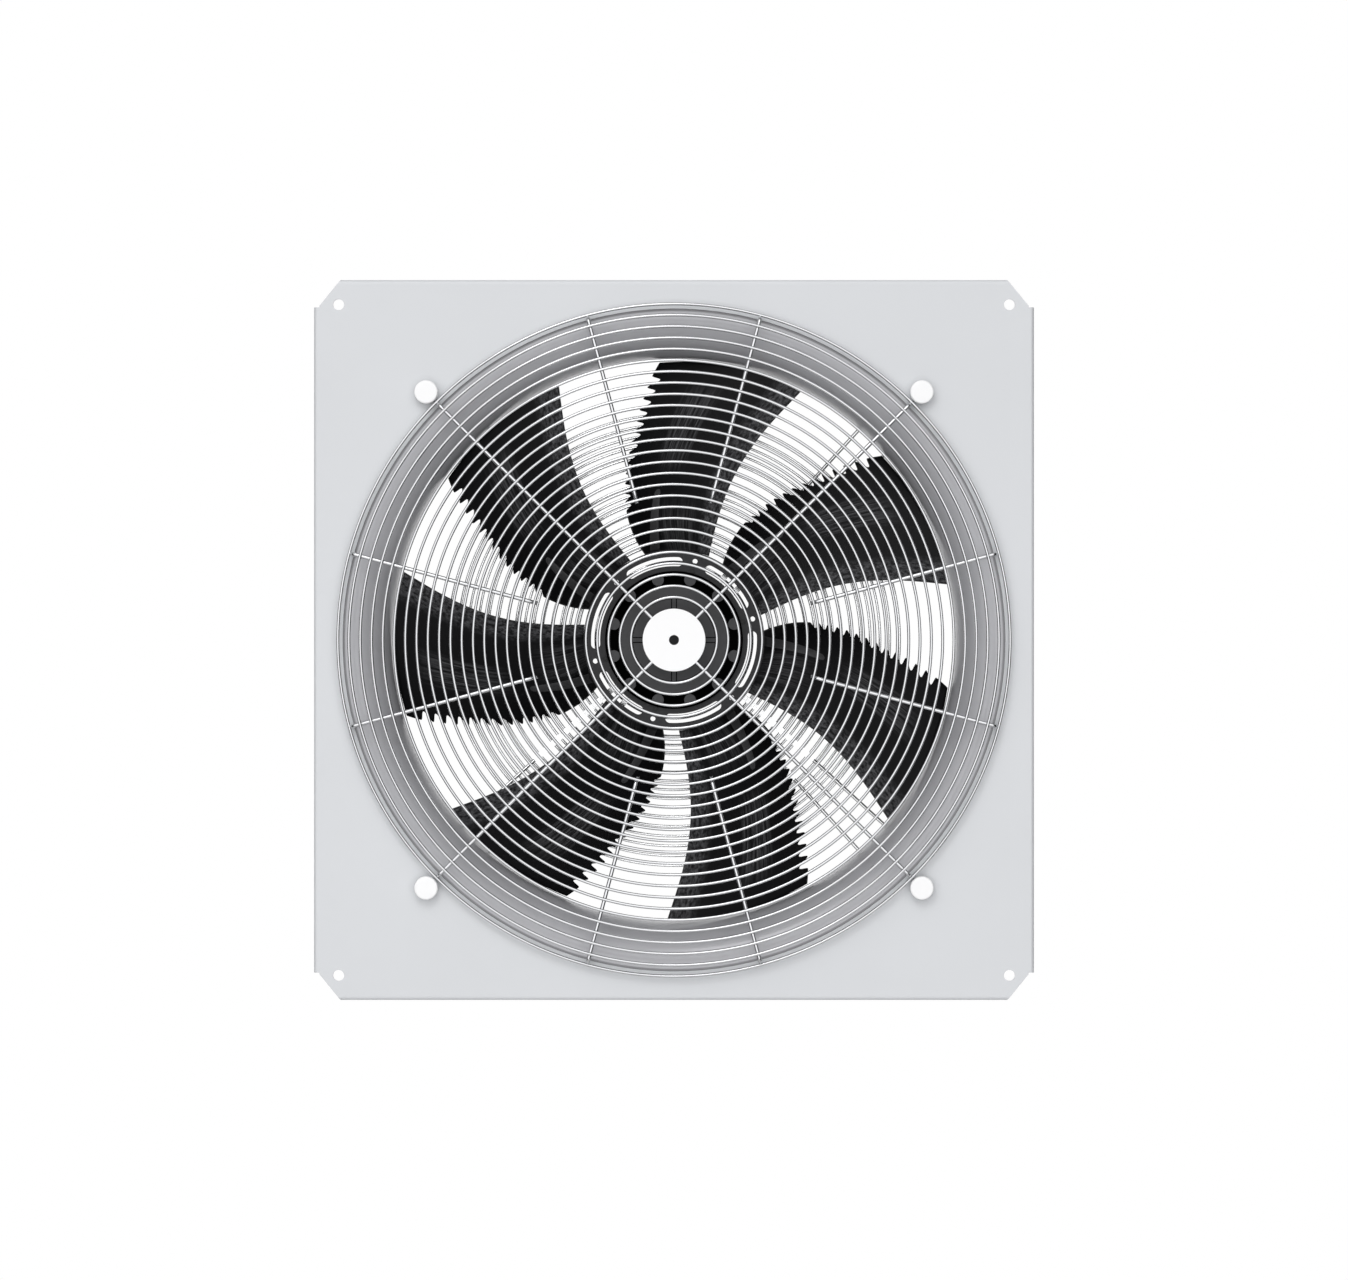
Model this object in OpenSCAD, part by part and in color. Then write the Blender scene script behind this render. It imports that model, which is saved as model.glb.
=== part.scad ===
// Axial extractor fan: square wall plate with a pressed inlet nozzle, a wire guard in front,
// a seven-bladed impeller on an external-rotor motor, and a wire basket that holds the motor.
// Millimetres. Z is up, the guard side faces -Y, and the origin lies on the fan's axis
// at the back face of the plate's sheet. Inside the modules "front" is local +Z.

/* [Wall plate] */
// Width and height of the square plate
plate_size = 725; // [722:1:740]
// Thickness of the plate's sheet
plate_t = 2; // [1:0.5:3]
// Depth of the folded rims, with the sheet
rim_depth = 20; // [12:1:30]
// Outside radius of the rims' bends
rim_bend_r = 4; // [3:0.5:6]
// Length cut off each corner along the top and bottom edges
corner_cut = 27; // [24:1:30]
// Step between a side rim and the corner cut
corner_step = 5.6; // [5:0.2:7]
// Distance from the plate's edges to the wall holes
hole_inset = 25; // [22.5:0.5:27.5]
// Diameter of the wall holes
hole_d = 11; // [7:0.5:13]

/* [Inlet nozzle] */
// Width of flat plate left between the nozzle's mouth and the plate's edges
mouth_margin = 30.5; // [30:0.5:31.5]
// Width of the nozzle's flange that shows inside the plate's opening
seam_w = 1.5; // [0.5:0.25:2]
// Radius of the bell-mouth's curve
bell_r = 45; // [43:0.5:45.5]
// Thickness of the nozzle's sheet
nozzle_t = 1.5; // [1:0.25:2]
// Width of the flange behind the plate
nozzle_flange_w = 12; // [8:1:13]
// Depth from the back of the plate to the nozzle's rear edge
nozzle_depth = 95; // [85:1:100]

/* [Front guard] */
// Radius of the innermost guard ring
ring_first_r = 43; // [41:0.5:43]
// Distance of the rim ring, which is the outermost, outside the nozzle's mouth
ring_outset = 5.5; // [4.5:0.1:6.5]
// Step from the last ring of the guard's face to the rim ring
rim_ring_step = 12; // [10:0.25:13]
// Number of guard rings
ring_count = 27; // [20:1:27]
// Diameter of the guard's ring wire
ring_wire_d = 3; // [2:0.5:4]
// Diameter of the guard's spokes
spoke_d = 4; // [3:0.5:5]
// Height of the ring wires' plane above the back of the plate
guard_stand = 22; // [20:1:40]
// Ring at which the short spokes begin, counted from zero
short_spoke_ring = 9; // [6:1:14]
// Radius of the disc in the middle of the guard
centre_disc_r = 31.4; // [25:0.2:35]
// Thickness of that disc
centre_disc_t = 2; // [1:0.5:3]
// Radius of the hole in that disc
centre_hole_r = 5; // [3:0.5:8]

/* [Support bolts] */
// Distance of the bolts that carry the guard outside its rim ring
support_outset = 14.5; // [14:0.25:16]
// Diameter of those bolts
bolt_d = 8; // [6:1:8]
// Width across flats of the bolt heads and nuts
bolt_af = 13; // [13:1:14]
// Height of the bolt heads
bolt_head_h = 5.3; // [4:0.1:6]
// Height of the nuts
nut_h = 6.5; // [5:0.5:7]
// Radius of the front washers
front_washer_r = 10.5; // [10:0.5:13]
// Radius of the rear washers
rear_washer_r = 8; // [8:0.5:9]
// Thickness of the washers
washer_t = 1.6; // [1:0.2:2]
// Radius of the plastic caps over the bolt heads
cap_r = 11.8; // [9.5:0.1:12.2]
// Thickness of the caps' tops
cap_top_t = 1.5; // [1:0.25:3]

/* [Impeller] */
// Number of blades
blade_count = 7; // [7:1:7]
// Gap between the blade tips and the nozzle's throat
tip_gap = 2.5; // [2:0.5:12]
// Distance of the hub ring's outside from the rotor bell
hub_outset = 24.5; // [23.5:0.5:27]
// Thickness of the hub ring's band
hub_wall = 3.5; // [2.5:0.5:3.5]
// Thickness of the hub ring's front web
hub_web_t = 4; // [3:0.5:6]
// Gap between the front web and the rotor bell
hub_bore_gap = 2.7; // [2:0.1:3.5]
// Distance from the back of the plate to the hub ring's front face
hub_front = 20; // [19:1:24]
// Length of hub ring behind the blades' trailing edges
hub_tail = 6; // [4:0.5:8]
// Distance from the back of the plate to the leading edges
blade_front = 24; // [22:1:28]
// Axial depth of the blades at the root
blade_depth_root = 62; // [56:1:64]
// Axial depth of the blades at the tip
blade_depth_tip = 46; // [42:1:60]
// Greatest thickness of a blade at the root
blade_t_root = 6; // [4:0.5:7]
// Greatest thickness of a blade at the tip
blade_t_tip = 3.6; // [3:0.2:5]
// Number of teeth on a trailing edge
tooth_count = 12; // [8:1:14]
// Radius at which the teeth begin
tooth_first_r = 145.6; // [140:0.2:150]
// Distance of the last notch between teeth from the tip
tooth_margin = 18; // [14:0.2:30]
// Angle by which a tooth stands out of the edge
tooth_angle = 2.3; // [1:0.1:3]
// Number of slots and of holes in the hub's web
slot_count = 6; // [4:1:6]
// Distance of the slots' centre line from the rotor bell
slot_outset = 12.4; // [12.2:0.1:13]
// Width of the slots
slot_w = 9.2; // [6:0.2:9.4]
// Half angle of a slot's straight run
slot_half_angle = 18; // [12:1:19]
// Diameter of the round holes between the slots
vent_d = 5; // [3:0.5:6]
// Distance of the round holes from the rotor bell
vent_outset = 15.4; // [14:0.2:16]

/* [Motor] */
// Outside radius of the rotor bell
rotor_r = 67; // [66:0.2:67.2]
// Thickness of the bell's side wall
rotor_wall = 6; // [5:0.5:6.5]
// Thickness of the bell's front wall
rotor_front_t = 10; // [9:0.5:11]
// Distance from the back of the plate to the rotor's front face
rotor_front = 12; // [11:0.5:13]
// Length of the rotor bell
rotor_len = 84; // [80:1:86]
// Width of the flange that carries the impeller
rotor_flange_w = 7.5; // [7:0.1:7.6]
// Thickness of that flange
rotor_flange_t = 4; // [3:0.5:6]
// Number of magnets in the bell
magnet_count = 10; // [8:2:12]
// Thickness of the magnets
magnet_t = 3.5; // [3:0.25:4]
// Air gap between the magnets and the stator
air_gap = 1; // [0.6:0.1:1.5]
// Number of stator teeth
stator_teeth = 12; // [9:3:12]
// Length of the stator's stack
stack_len = 48; // [40:1:52]
// Diameter of the shaft
shaft_d = 17; // [15:1:17]
// Outside radius of the bearings
bearing_r = 20; // [19:0.5:20.5]
// Width of the bearings
bearing_w = 12; // [10:0.5:12]
// Radius of the bearing balls
ball_r = 3.3; // [3:0.1:3.4]
// Number of balls in a bearing
ball_count = 8; // [7:1:9]
// Thickness of the bearing tube's wall
tube_wall = 4; // [3.5:0.5:6]
// Distance of the stator flange's edge outside the rotor bell
flange_outset = 6; // [5:0.5:6.5]
// Thickness of the stator's flange
flange_t = 13; // [11:1:14]

/* [Electronics housing] */
// Outside radius of the housing
case_r = 52; // [50:0.5:52]
// Thickness of the housing's wall
case_wall = 3; // [2:0.5:4]
// Length of the housing
case_len = 36; // [34:1:44]
// Thickness of the rear cover
cover_t = 3; // [2:0.5:5]
// Thickness of the gasket under the cover
gasket_t = 1; // [0.5:0.25:2]
// Thickness of the circuit board
board_t = 1.6; // [1.2:0.2:2.4]
// Radius of the bore in the cable gland
cable_r = 4; // [3:0.5:4.5]
// Radius of the gland's thread
gland_r = 8; // [8:0.5:9]
// Width across flats of the gland's hexagons
gland_af = 20; // [20:1:22]
// Length of the gland outside the housing
gland_len = 20; // [18:1:20]

/* [Motor basket] */
// Thickness of the motor bracket's sheet
bracket_t = 4; // [3:0.5:5]
// Width of the bracket's arms
arm_w = 6; // [5:0.5:8]
// Radius to which the arms reach
arm_end_r = 190; // [170:1:200]
// Diameter of the basket's rods
rod_d = 4; // [3:0.5:5]
// Distance of each rod from its diagonal, at the axis
rod_offset = 5.5; // [5:0.5:6]
// Angle between each rod and its diagonal
rod_splay = 2.6; // [2:0.1:3]
// Distance outside the nozzle's throat at which the rods turn forward
rod_turn_outset = 7; // [5:0.5:11]
// Distance of that turn behind the nozzle's rear edge
rod_turn_gap = 9; // [7:0.5:13]
// Diameter of the basket's ring wire
basket_wire_d = 3; // [2:0.5:4]
// Thickness of the basket's feet
foot_t = 3; // [2:0.5:4]
// Length of the basket's feet across the rods
foot_w = 54; // [50:1:60]
// Length of the basket's feet along the rods
foot_len = 26; // [24:1:28]
// Number of basket rings over the bracket's arms
inner_ring_count = 12; // [8:1:12]

/* [Hidden] */
$fn = 96;

// Half height of the notch where a side rim ends
corner_notch = 0.75;

// Clearances
seat_gap = 0.05;
weld_gap = 0.1;
bolt_clear = 0.3;
thread_clear = 0.05;
cap_clear = 0.2;
press_gap = 0.02;
ball_gap = 0.1;
root_gap = 0.3;
bend_lap = 0.3;
bend_swell = 0.1;
cut = 1;

// Places along the fan's axis, with the front positive
mouth_r = plate_size / 2 - mouth_margin;
throat_r = mouth_r - bell_r;
hole_pitch = plate_size - 2 * hole_inset;
opening_r = mouth_r + seam_w;
rim_ring_r = mouth_r + ring_outset;
ring_pitch = (rim_ring_r - rim_ring_step - ring_first_r) / (ring_count - 2);
ring_z = guard_stand;
spoke_z = ring_z - ring_wire_d / 2 - spoke_d / 2 - weld_gap;
spoke_bend_r = 4;
leg_r = rim_ring_r - ring_wire_d / 2 - spoke_d / 2 - weld_gap;
spoke_start_r = 14;
spoke_count = 12;
first_spoke_angle = 15;
outer_ring_start = floor((short_spoke_ring + ring_count) / 2);
eye_r = bolt_d / 2 + 0.5 + spoke_d / 2;
eye_z = plate_t + seat_gap + spoke_d / 2;
rim_ring_z = (spoke_z + eye_z) / 2;
front_washer_z = plate_t + 2 * seat_gap + spoke_d;
head_z = front_washer_z + washer_t;
head_circum_r = bolt_af / 2 / cos(30);
bolt_end_z = -foot_t - washer_t - nut_h - 3;
support_r = rim_ring_r + support_outset;
support_pitch = support_r * sqrt(2);

rotor_front_z = -rotor_front;
rotor_wall_z = rotor_front_z - rotor_front_t;
rotor_rear_z = rotor_front_z - rotor_len;
hub_front_z = -hub_front;
hub_rear_z = -blade_front - blade_depth_root - hub_tail;
hub_r = rotor_r + hub_outset;
hub_bore_r = rotor_r + hub_bore_gap;
slot_r = rotor_r + slot_outset;
vent_r = rotor_r + vent_outset;
tip_r = throat_r - tip_gap;
tooth_end_r = tip_r - tooth_margin;
rotor_flange_r = rotor_r + rotor_flange_w;
flange_seat_z = hub_front_z - hub_web_t;
first_vent_angle = 15;
first_slot_angle = 45;
hub_screw_r = (hub_bore_r + rotor_flange_r) / 2;
hub_screw_head_r = 2.2;
hub_screw_head_h = 2;
hub_screw_d = 3;
magnet_r = rotor_r - rotor_wall;
magnet_edge = 10;
magnet_front_z = rotor_wall_z - magnet_edge;
magnet_rear_z = rotor_rear_z + magnet_edge / 2;
stator_r = magnet_r - magnet_t - air_gap;
stack_front_z = (magnet_front_z + magnet_rear_z + stack_len) / 2;
stack_rear_z = stack_front_z - stack_len;
coil_over = 9;

// Bearings and shaft
tube_r = bearing_r + tube_wall;
flange_r = rotor_r + flange_outset;
boss_r = shaft_d / 2 + 3.5;
boss_len = 12;
front_bearing_z = rotor_wall_z - boss_len;
flange_front_z = rotor_rear_z - 3;
flange_rear_z = flange_front_z - flange_t;
rear_bearing_z = rotor_rear_z + bearing_w;
tube_front_z = front_bearing_z + 1;
washer_spring_t = 1.2;
tube_step_r = bearing_r - 4;
ball_path_r = (shaft_d / 2 + bearing_r) / 2;
race_gap = 3.7;
inner_ring_r = ball_path_r - race_gap / 2;
outer_ring_r = ball_path_r + race_gap / 2;
shaft_front_z = rotor_wall_z + 6;
shaft_rear_z = rotor_rear_z - 5;
circlip_t = 1.2;
circlip_depth = 0.6;
circlip_w = 3;

// Motor basket
bracket_z = flange_rear_z;
rod_z = bracket_z - bracket_t - rod_d / 2 - seat_gap;
bracket_ring_r = flange_r + 2.5;
bracket_screw_u = flange_r - 7;
bracket_screw_d = 5;
bracket_head_r = 4.25;
bracket_head_h = 5;
rod_start_r = bracket_ring_r + 3.5;
rod_turn_r = throat_r + rod_turn_outset;
rod_turn_z = nozzle_depth + rod_turn_gap;
rod_bend_r = 12;
foot_u = support_r;
foot_front_u = mouth_r + nozzle_flange_w + 1;
rod_foot_z = -foot_t - rod_d / 2 - seat_gap;
rod_foot_r = foot_front_u - 4;
rod_end_r = foot_front_u + foot_len - 3;
ring_drop = rod_d / 2 + basket_wire_d / 2 + weld_gap;
rod_slope = (rod_z + rod_turn_z) / (rod_turn_r - arm_end_r);

// Basket rings: evenly spaced over the arms, then at shares of the sloping stretch
inner_ring_first = bracket_ring_r + 5.7;
inner_ring_last = arm_end_r - 6.8;
inner_ring_pitch = (inner_ring_last - inner_ring_first) / (inner_ring_count - 1);
inner_rings = [for (k = [0:inner_ring_count - 1]) inner_ring_first + inner_ring_pitch * k];
slope_len = rod_turn_r - arm_end_r;
slope_shares = concat([for (k = [0:4]) 0.032 + 0.097 * k], [for (k = [0:3]) 0.509 + 0.1125 * k]);
slope_rings = [for (share = slope_shares) arm_end_r + slope_len * share];

// Electronics housing
case_front_z = flange_rear_z;
case_rear_z = case_front_z - case_len;
boss_u = case_r - 11;
case_boss_r = 5;
boss_rib_t = 3;
board_z = case_rear_z + 8;
cover_z = case_rear_z - gasket_t;
cover_screw_d = 4;
cover_head_r = 3.5;
cover_head_h = 3;
gland_z = case_front_z - case_len / 2;
gland_hex_h = 5;
gland_nut_h = gland_len - gland_hex_h;
seal_wall = 2;

// Turns the fan's front towards -Y
module facing() {
    rotate([90, 0, 0]) children();
}

module tube(outer, inner, low, high) {
    translate([0, 0, low]) difference() {
        cylinder(r = outer, h = high - low, $fn = 180);
        translate([0, 0, -cut]) cylinder(r = inner, h = high - low + 2 * cut, $fn = 180);
    }
}

module wire_ring(r, d) {
    rotate_extrude($fn = 180) translate([r, 0]) circle(d = d, $fn = 24);
}

// Unit vector, length and turning angle of a path in its own plane
function heading(a, b) = atan2(b[1] - a[1], b[0] - a[0]);
function span(a, b) = norm(b - a);
function turn(p, i) = let (d = heading(p[i], p[i + 1]) - heading(p[i - 1], p[i]))
    d > 180 ? d - 360 : d < -180 ? d + 360 : d;
function trim(p, i, bend) = i == 0 || i == len(p) - 1 ? 0 : bend * tan(abs(turn(p, i)) / 2);

// A round wire along the points of p, in the XY plane, with a bend of one radius at each corner.
// The bends are a hair thicker than the straights, which run a little way into them.
module bent_wire(p, d, bend) {
    for (i = [0:len(p) - 2]) {
        az = heading(p[i], p[i + 1]);
        low = i == 0 ? 0 : trim(p, i, bend) - bend_lap;
        high = i == len(p) - 2 ? 0 : trim(p, i + 1, bend) - bend_lap;
        translate(p[i]) rotate([0, 0, az]) translate([low, 0, 0]) rotate([0, 90, 0])
            cylinder(d = d, h = span(p[i], p[i + 1]) - low - high, $fn = 24);
    }
    for (i = [1:1:len(p) - 2]) {
        az = heading(p[i - 1], p[i]);
        a = turn(p, i);
        side = a > 0 ? 1 : -1;
        translate(p[i]) rotate([0, 0, az]) translate([-trim(p, i, bend), side * bend, 0])
            rotate([0, 0, side > 0 ? -90 : 90 + a]) rotate_extrude(angle = abs(a), $fn = 72)
                translate([bend, 0]) circle(d = d + bend_swell, $fn = 24);
    }
}

// Stands a path drawn as (radius, height) up along the fan's axis
module upright() {
    rotate([90, 0, 0]) children();
}

module at_support_bolts() {
    for (x = [-1, 1], y = [-1, 1])
        translate([x * support_pitch / 2, y * support_pitch / 2, 0]) children();
}

module at_diagonals() {
    for (k = [0:3]) rotate([0, 0, 45 + 90 * k]) children();
}

// The two rods of a pair lean away from their diagonal
module at_rod_lines() {
    at_diagonals() for (s = [-1, 1])
        translate([0, s * rod_offset, 0]) rotate([0, 0, s * rod_splay]) children();
}

module hexagon(af, h) {
    cylinder(r = af / 2 / cos(30), h = h, $fn = 6);
}

/* Wall plate and nozzle */

function corner_points() = let (half = plate_size / 2, top = half - corner_cut, side = half - corner_step)
    [[half, top - corner_notch], [side, top - corner_notch], [side, top + corner_notch], [top, half]];
function in_order(p, forward) = forward ? p : [for (i = [len(p) - 1:-1:0]) p[i]];

module plate_outline() {
    polygon([for (q = [[1, 1], [-1, 1], [-1, -1], [1, -1]])
        each in_order([for (c = corner_points()) [q[0] * c[0], q[1] * c[1]]], q[0] * q[1] > 0)]);
}

// Section of one rim: flat strip, quarter bend and straight leg
module rim_section() {
    centre = [plate_size / 2 - rim_bend_r, plate_t - rim_bend_r];
    overlap = 3;
    translate([centre[0] - overlap, 0]) square([overlap, plate_t]);
    translate([plate_size / 2 - plate_t, plate_t - rim_depth])
        square([plate_t, rim_depth - rim_bend_r]);
    intersection() {
        translate(centre) difference() {
            circle(r = rim_bend_r);
            circle(r = rim_bend_r - plate_t);
        }
        translate(centre) square(rim_bend_r);
    }
}

module wall_plate() {
    flat = plate_size - 2 * rim_bend_r;
    color([0.88, 0.89, 0.9]) facing() difference() {
        intersection() {
            union() {
                translate([-flat / 2, -flat / 2, 0]) cube([flat, flat, plate_t]);
                for (k = [0:3]) rotate([0, 0, 90 * k]) rotate([90, 0, 0])
                    translate([0, 0, -plate_size / 2]) linear_extrude(plate_size) rim_section();
            }
            translate([0, 0, -rim_depth]) linear_extrude(2 * rim_depth) plate_outline();
        }
        translate([0, 0, -cut]) cylinder(r = opening_r, h = plate_t + 2 * cut, $fn = 240);
        for (x = [-1, 1], y = [-1, 1]) translate([x * hole_pitch / 2, y * hole_pitch / 2, -cut])
            cylinder(d = hole_d, h = plate_t + 2 * cut);
        at_support_bolts() translate([0, 0, -cut])
            cylinder(r = bolt_d / 2 + bolt_clear, h = plate_t + 2 * cut);
    }
}

module inlet_nozzle() {
    color([0.62, 0.63, 0.64]) facing() {
        rotate_extrude($fn = 240) {
            translate([mouth_r, -nozzle_t]) square([nozzle_flange_w, nozzle_t]);
            intersection() {
                translate([mouth_r, -bell_r]) difference() {
                    circle(r = bell_r, $fn = 180);
                    circle(r = bell_r - nozzle_t, $fn = 180);
                }
                translate([throat_r, -bell_r]) square(bell_r);
            }
            translate([throat_r, -nozzle_depth]) square([nozzle_t, nozzle_depth - bell_r]);
        }
    }
}

/* Front guard */

module guard_ring_run(first, last) {
    color([0.84, 0.85, 0.86]) facing() translate([0, 0, ring_z])
        for (k = [first:last]) wire_ring(ring_first_r + k * ring_pitch, ring_wire_d);
}

// The rim ring lies lower than the others, round the outsides of the spokes' legs
module rim_ring() {
    color([0.84, 0.85, 0.86]) facing() translate([0, 0, rim_ring_z]) wire_ring(rim_ring_r, ring_wire_d);
}

// Only the long spokes carry the inner rings; all spokes carry the others
module guard_inner_rings() {
    guard_ring_run(0, short_spoke_ring - 1);
}

module guard_middle_rings() {
    guard_ring_run(short_spoke_ring, outer_ring_start - 1);
}

module guard_outer_rings() {
    guard_ring_run(outer_ring_start, ring_count - 2);
    rim_ring();
}

module guard_long_spokes() {
    path = [[spoke_start_r, spoke_z], [leg_r, spoke_z], [leg_r, eye_z], [support_r - eye_r, eye_z]];
    color([0.8, 0.81, 0.82]) facing() at_diagonals() {
        upright() bent_wire(path, spoke_d, spoke_bend_r);
        translate([support_r, 0, eye_z])
            rotate_extrude($fn = 96) translate([eye_r, 0]) circle(d = spoke_d, $fn = 24);
    }
}

module guard_short_spokes() {
    start = ring_first_r + short_spoke_ring * ring_pitch - ring_wire_d;
    path = [[start, spoke_z], [leg_r, spoke_z], [leg_r, plate_t + seat_gap]];
    color([0.8, 0.81, 0.82]) facing() for (k = [0:spoke_count - 1]) if (k % 3 != 1)
        rotate([0, 0, first_spoke_angle + 360 / spoke_count * k])
            upright() bent_wire(path, spoke_d, spoke_bend_r);
}

module guard_centre_disc() {
    low = spoke_z + spoke_d / 2 + weld_gap;
    color([0.96, 0.96, 0.96]) facing() tube(centre_disc_r, centre_hole_r, low, low + centre_disc_t);
}

/* Support bolts */

module bolt_caps() {
    hollow_r = head_circum_r + cap_clear;
    hollow_h = bolt_head_h + cap_clear;
    color([0.96, 0.96, 0.96]) facing() at_support_bolts() translate([0, 0, head_z]) difference() {
        cylinder(r = cap_r, h = hollow_h + cap_top_t);
        translate([0, 0, -cut]) cylinder(r = hollow_r, h = hollow_h + cut);
    }
}

module support_bolts() {
    color([0.75, 0.76, 0.78]) facing() at_support_bolts() {
        translate([0, 0, head_z]) hexagon(bolt_af, bolt_head_h);
        translate([0, 0, bolt_end_z]) cylinder(d = bolt_d, h = head_z - bolt_end_z);
    }
}

module front_washers() {
    color([0.78, 0.79, 0.8]) facing() at_support_bolts()
        tube(front_washer_r, bolt_d / 2 + bolt_clear, front_washer_z, head_z);
}

module rear_washers() {
    color([0.78, 0.79, 0.8]) facing() at_support_bolts()
        tube(rear_washer_r, bolt_d / 2 + bolt_clear, -foot_t - washer_t, -foot_t);
}

module support_nuts() {
    top = -foot_t - washer_t;
    color([0.75, 0.76, 0.78]) facing() at_support_bolts() translate([0, 0, top - nut_h]) difference() {
        hexagon(bolt_af, nut_h);
        translate([0, 0, -cut]) cylinder(r = bolt_d / 2 + thread_clear, h = nut_h + 2 * cut);
    }
}

/* Impeller */

module at_hub_screws() {
    for (k = [0:slot_count - 1]) rotate([0, 0, first_vent_angle + 360 / slot_count * k])
        translate([hub_screw_r, 0, 0]) children();
}

module impeller_hub() {
    color([0.13, 0.13, 0.14]) facing() difference() {
        union() {
            tube(hub_r, hub_r - hub_wall, hub_rear_z, hub_front_z);
            tube(hub_r - hub_wall / 2, hub_bore_r, flange_seat_z, hub_front_z);
        }
        for (k = [0:slot_count - 1]) translate([0, 0, flange_seat_z - cut]) {
            rotate([0, 0, first_slot_angle + 360 / slot_count * k]) {
                rotate([0, 0, -slot_half_angle]) rotate_extrude(angle = 2 * slot_half_angle)
                    translate([slot_r - slot_w / 2, 0]) square([slot_w, hub_web_t + 2 * cut]);
                for (s = [-1, 1]) rotate([0, 0, s * slot_half_angle]) translate([slot_r, 0, 0])
                    cylinder(d = slot_w, h = hub_web_t + 2 * cut);
            }
            rotate([0, 0, first_vent_angle + 360 / slot_count * k]) translate([vent_r, 0, 0])
                cylinder(d = vent_d, h = hub_web_t + 2 * cut);
        }
        at_hub_screws() translate([0, 0, flange_seat_z - cut])
            cylinder(r = hub_screw_d / 2 + thread_clear, h = hub_web_t + 2 * cut);
    }
}

module impeller_screws() {
    color([0.1, 0.1, 0.1]) facing() at_hub_screws() {
        translate([0, 0, hub_front_z]) cylinder(r = hub_screw_head_r, h = hub_screw_head_h);
        translate([0, 0, flange_seat_z - rotor_flange_t])
            cylinder(d = hub_screw_d, h = rotor_flange_t + hub_web_t);
    }
}

// Edges of a blade as angles from its leading tip: control values of a curve along the span
leading_angles = [4.7, 11.9, 3.9, 0];
trailing_angles = [45.6, 54.9, 37.7, 37, 30.1];
first_blade_angle = 11.4;
blade_root_r = hub_r + root_gap;
edge_t = 1.2;
camber = 0.3;
// Chord stations that stay clear of the teeth, as shares of the chord to the valleys
chord_stations = [0, 0.06, 0.2, 0.35, 0.5, 0.65, 0.78, 0.9];
function bezier(c, t) = len(c) == 1 ? c[0]
    : bezier([for (i = [0:len(c) - 2]) c[i] * (1 - t) + c[i + 1] * t], t);
function span_share(r) = (r - blade_root_r) / (tip_r - blade_root_r);
function lead(r) = bezier(leading_angles, span_share(r));
function trail(r) = bezier(trailing_angles, span_share(r));
// The teeth widen a little towards the tip, and each stands out most near its middle
tooth_growth = 0.11;
tooth_peak = 0.46;
first_flank = 4.8;
last_flank = 5;
function tooth_r(k) = let (share = k / tooth_count)
    tooth_first_r + (tooth_end_r - tooth_first_r) * share * (1 - tooth_growth + tooth_growth * share);
// Each station is a radius and the angle by which the trailing edge is cut back there
root_stations = [for (k = [0:4])
    [blade_root_r + (tooth_first_r - first_flank - blade_root_r) * k / 4, 0]];
tooth_stations = [for (k = [0:tooth_count - 1], s = [0, 1])
    [tooth_r(k + tooth_peak * s), s == 0 ? tooth_angle : 0]];
tip_stations = [[tooth_end_r, tooth_angle], [tooth_end_r + last_flank, 0], [tip_r, 0]];
stations = concat(root_stations, tooth_stations, tip_stations);

// Height of a blade's middle surface, and its point at station s, share c of the chord, side e
function fall(r, w) = -blade_front
    - (blade_depth_root + (blade_depth_tip - blade_depth_root) * span_share(r))
        * ((1 - camber) * w + camber * w * w);
function thick(r, w) = edge_t + (blade_t_root + (blade_t_tip - blade_t_root) * span_share(r) - edge_t)
    * pow(sin(180 * pow(max(0, min(1, w)), 0.8)), 0.8);
function blade_point(r, a, e) = let (
        w = (a - lead(r)) / (trail(r) - lead(r)),
        chord = (trail(r) - lead(r)) * PI / 180 * r,
        step = 0.01,
        slope = (fall(r, w + step) - fall(r, w)) / (step * chord),
        n = [-slope, 1] / norm([slope, 1]),
        off = e * thick(r, w) / 2,
        b = a + n[0] * off / r * 180 / PI)
    [r * cos(b), r * sin(b), fall(r, w) + n[1] * off];
function chord_angles(s) = let (r = s[0], a = lead(r), valley = trail(r) - tooth_angle)
    concat([for (c = chord_stations) a + c * (valley - a)], [trail(r) - s[1]]);
function section(s) = let (angles = chord_angles(s), last = len(angles) - 1)
    concat([for (i = [0:last]) blade_point(s[0], angles[i], 1)],
        [for (i = [last:-1:0]) blade_point(s[0], angles[i], -1)]);

module blade(k) {
    rows = len(stations);
    cols = 2 * (len(chord_stations) + 1);
    points = [for (s = stations) each section(s)];
    sides = [for (i = [0:rows - 2], j = [0:cols - 1]) let (
            a = i * cols + j,
            b = i * cols + (j + 1) % cols,
            c = a + cols,
            d = b + cols)
        each [[a, b, d], [a, d, c]]];
    // The two end faces, as strips between the upper and the lower side
    ends = [for (i = [0, rows - 1], j = [0:cols / 2 - 2]) let (
            a = i * cols + j,
            b = a + 1,
            c = i * cols + cols - 1 - j,
            d = c - 1)
        each i == 0 ? [[a, c, b], [b, c, d]] : [[a, b, c], [b, d, c]]];
    color([0.1, 0.1, 0.11]) facing() rotate([0, 0, first_blade_angle + 360 / blade_count * (k - 1)])
        polyhedron(points, concat(sides, ends), convexity = 6);
}

/* Motor, turning pieces */

lobe_count = 12;
first_lobe_angle = 15;
lobe_w = 12;
lobe_in_r = rotor_r - 10.2;
well_in_r = rotor_r - 11.5;
well_out_r = rotor_r - 2.4;
well_depth = 6;
well_rib_w = 1.6;
well_rib_h = 3;
collar_in_r = rotor_r - 23.1;
collar_out_r = rotor_r - 13;
collar_h = 1;
pan_r = rotor_r - 24.6;
pan_in_r = rotor_r - 45;
pan_depth = 0.8;
pan_rib_w = 4;
pan_groove_w = 0.9;
pan_groove_depth = 2.5;

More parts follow.
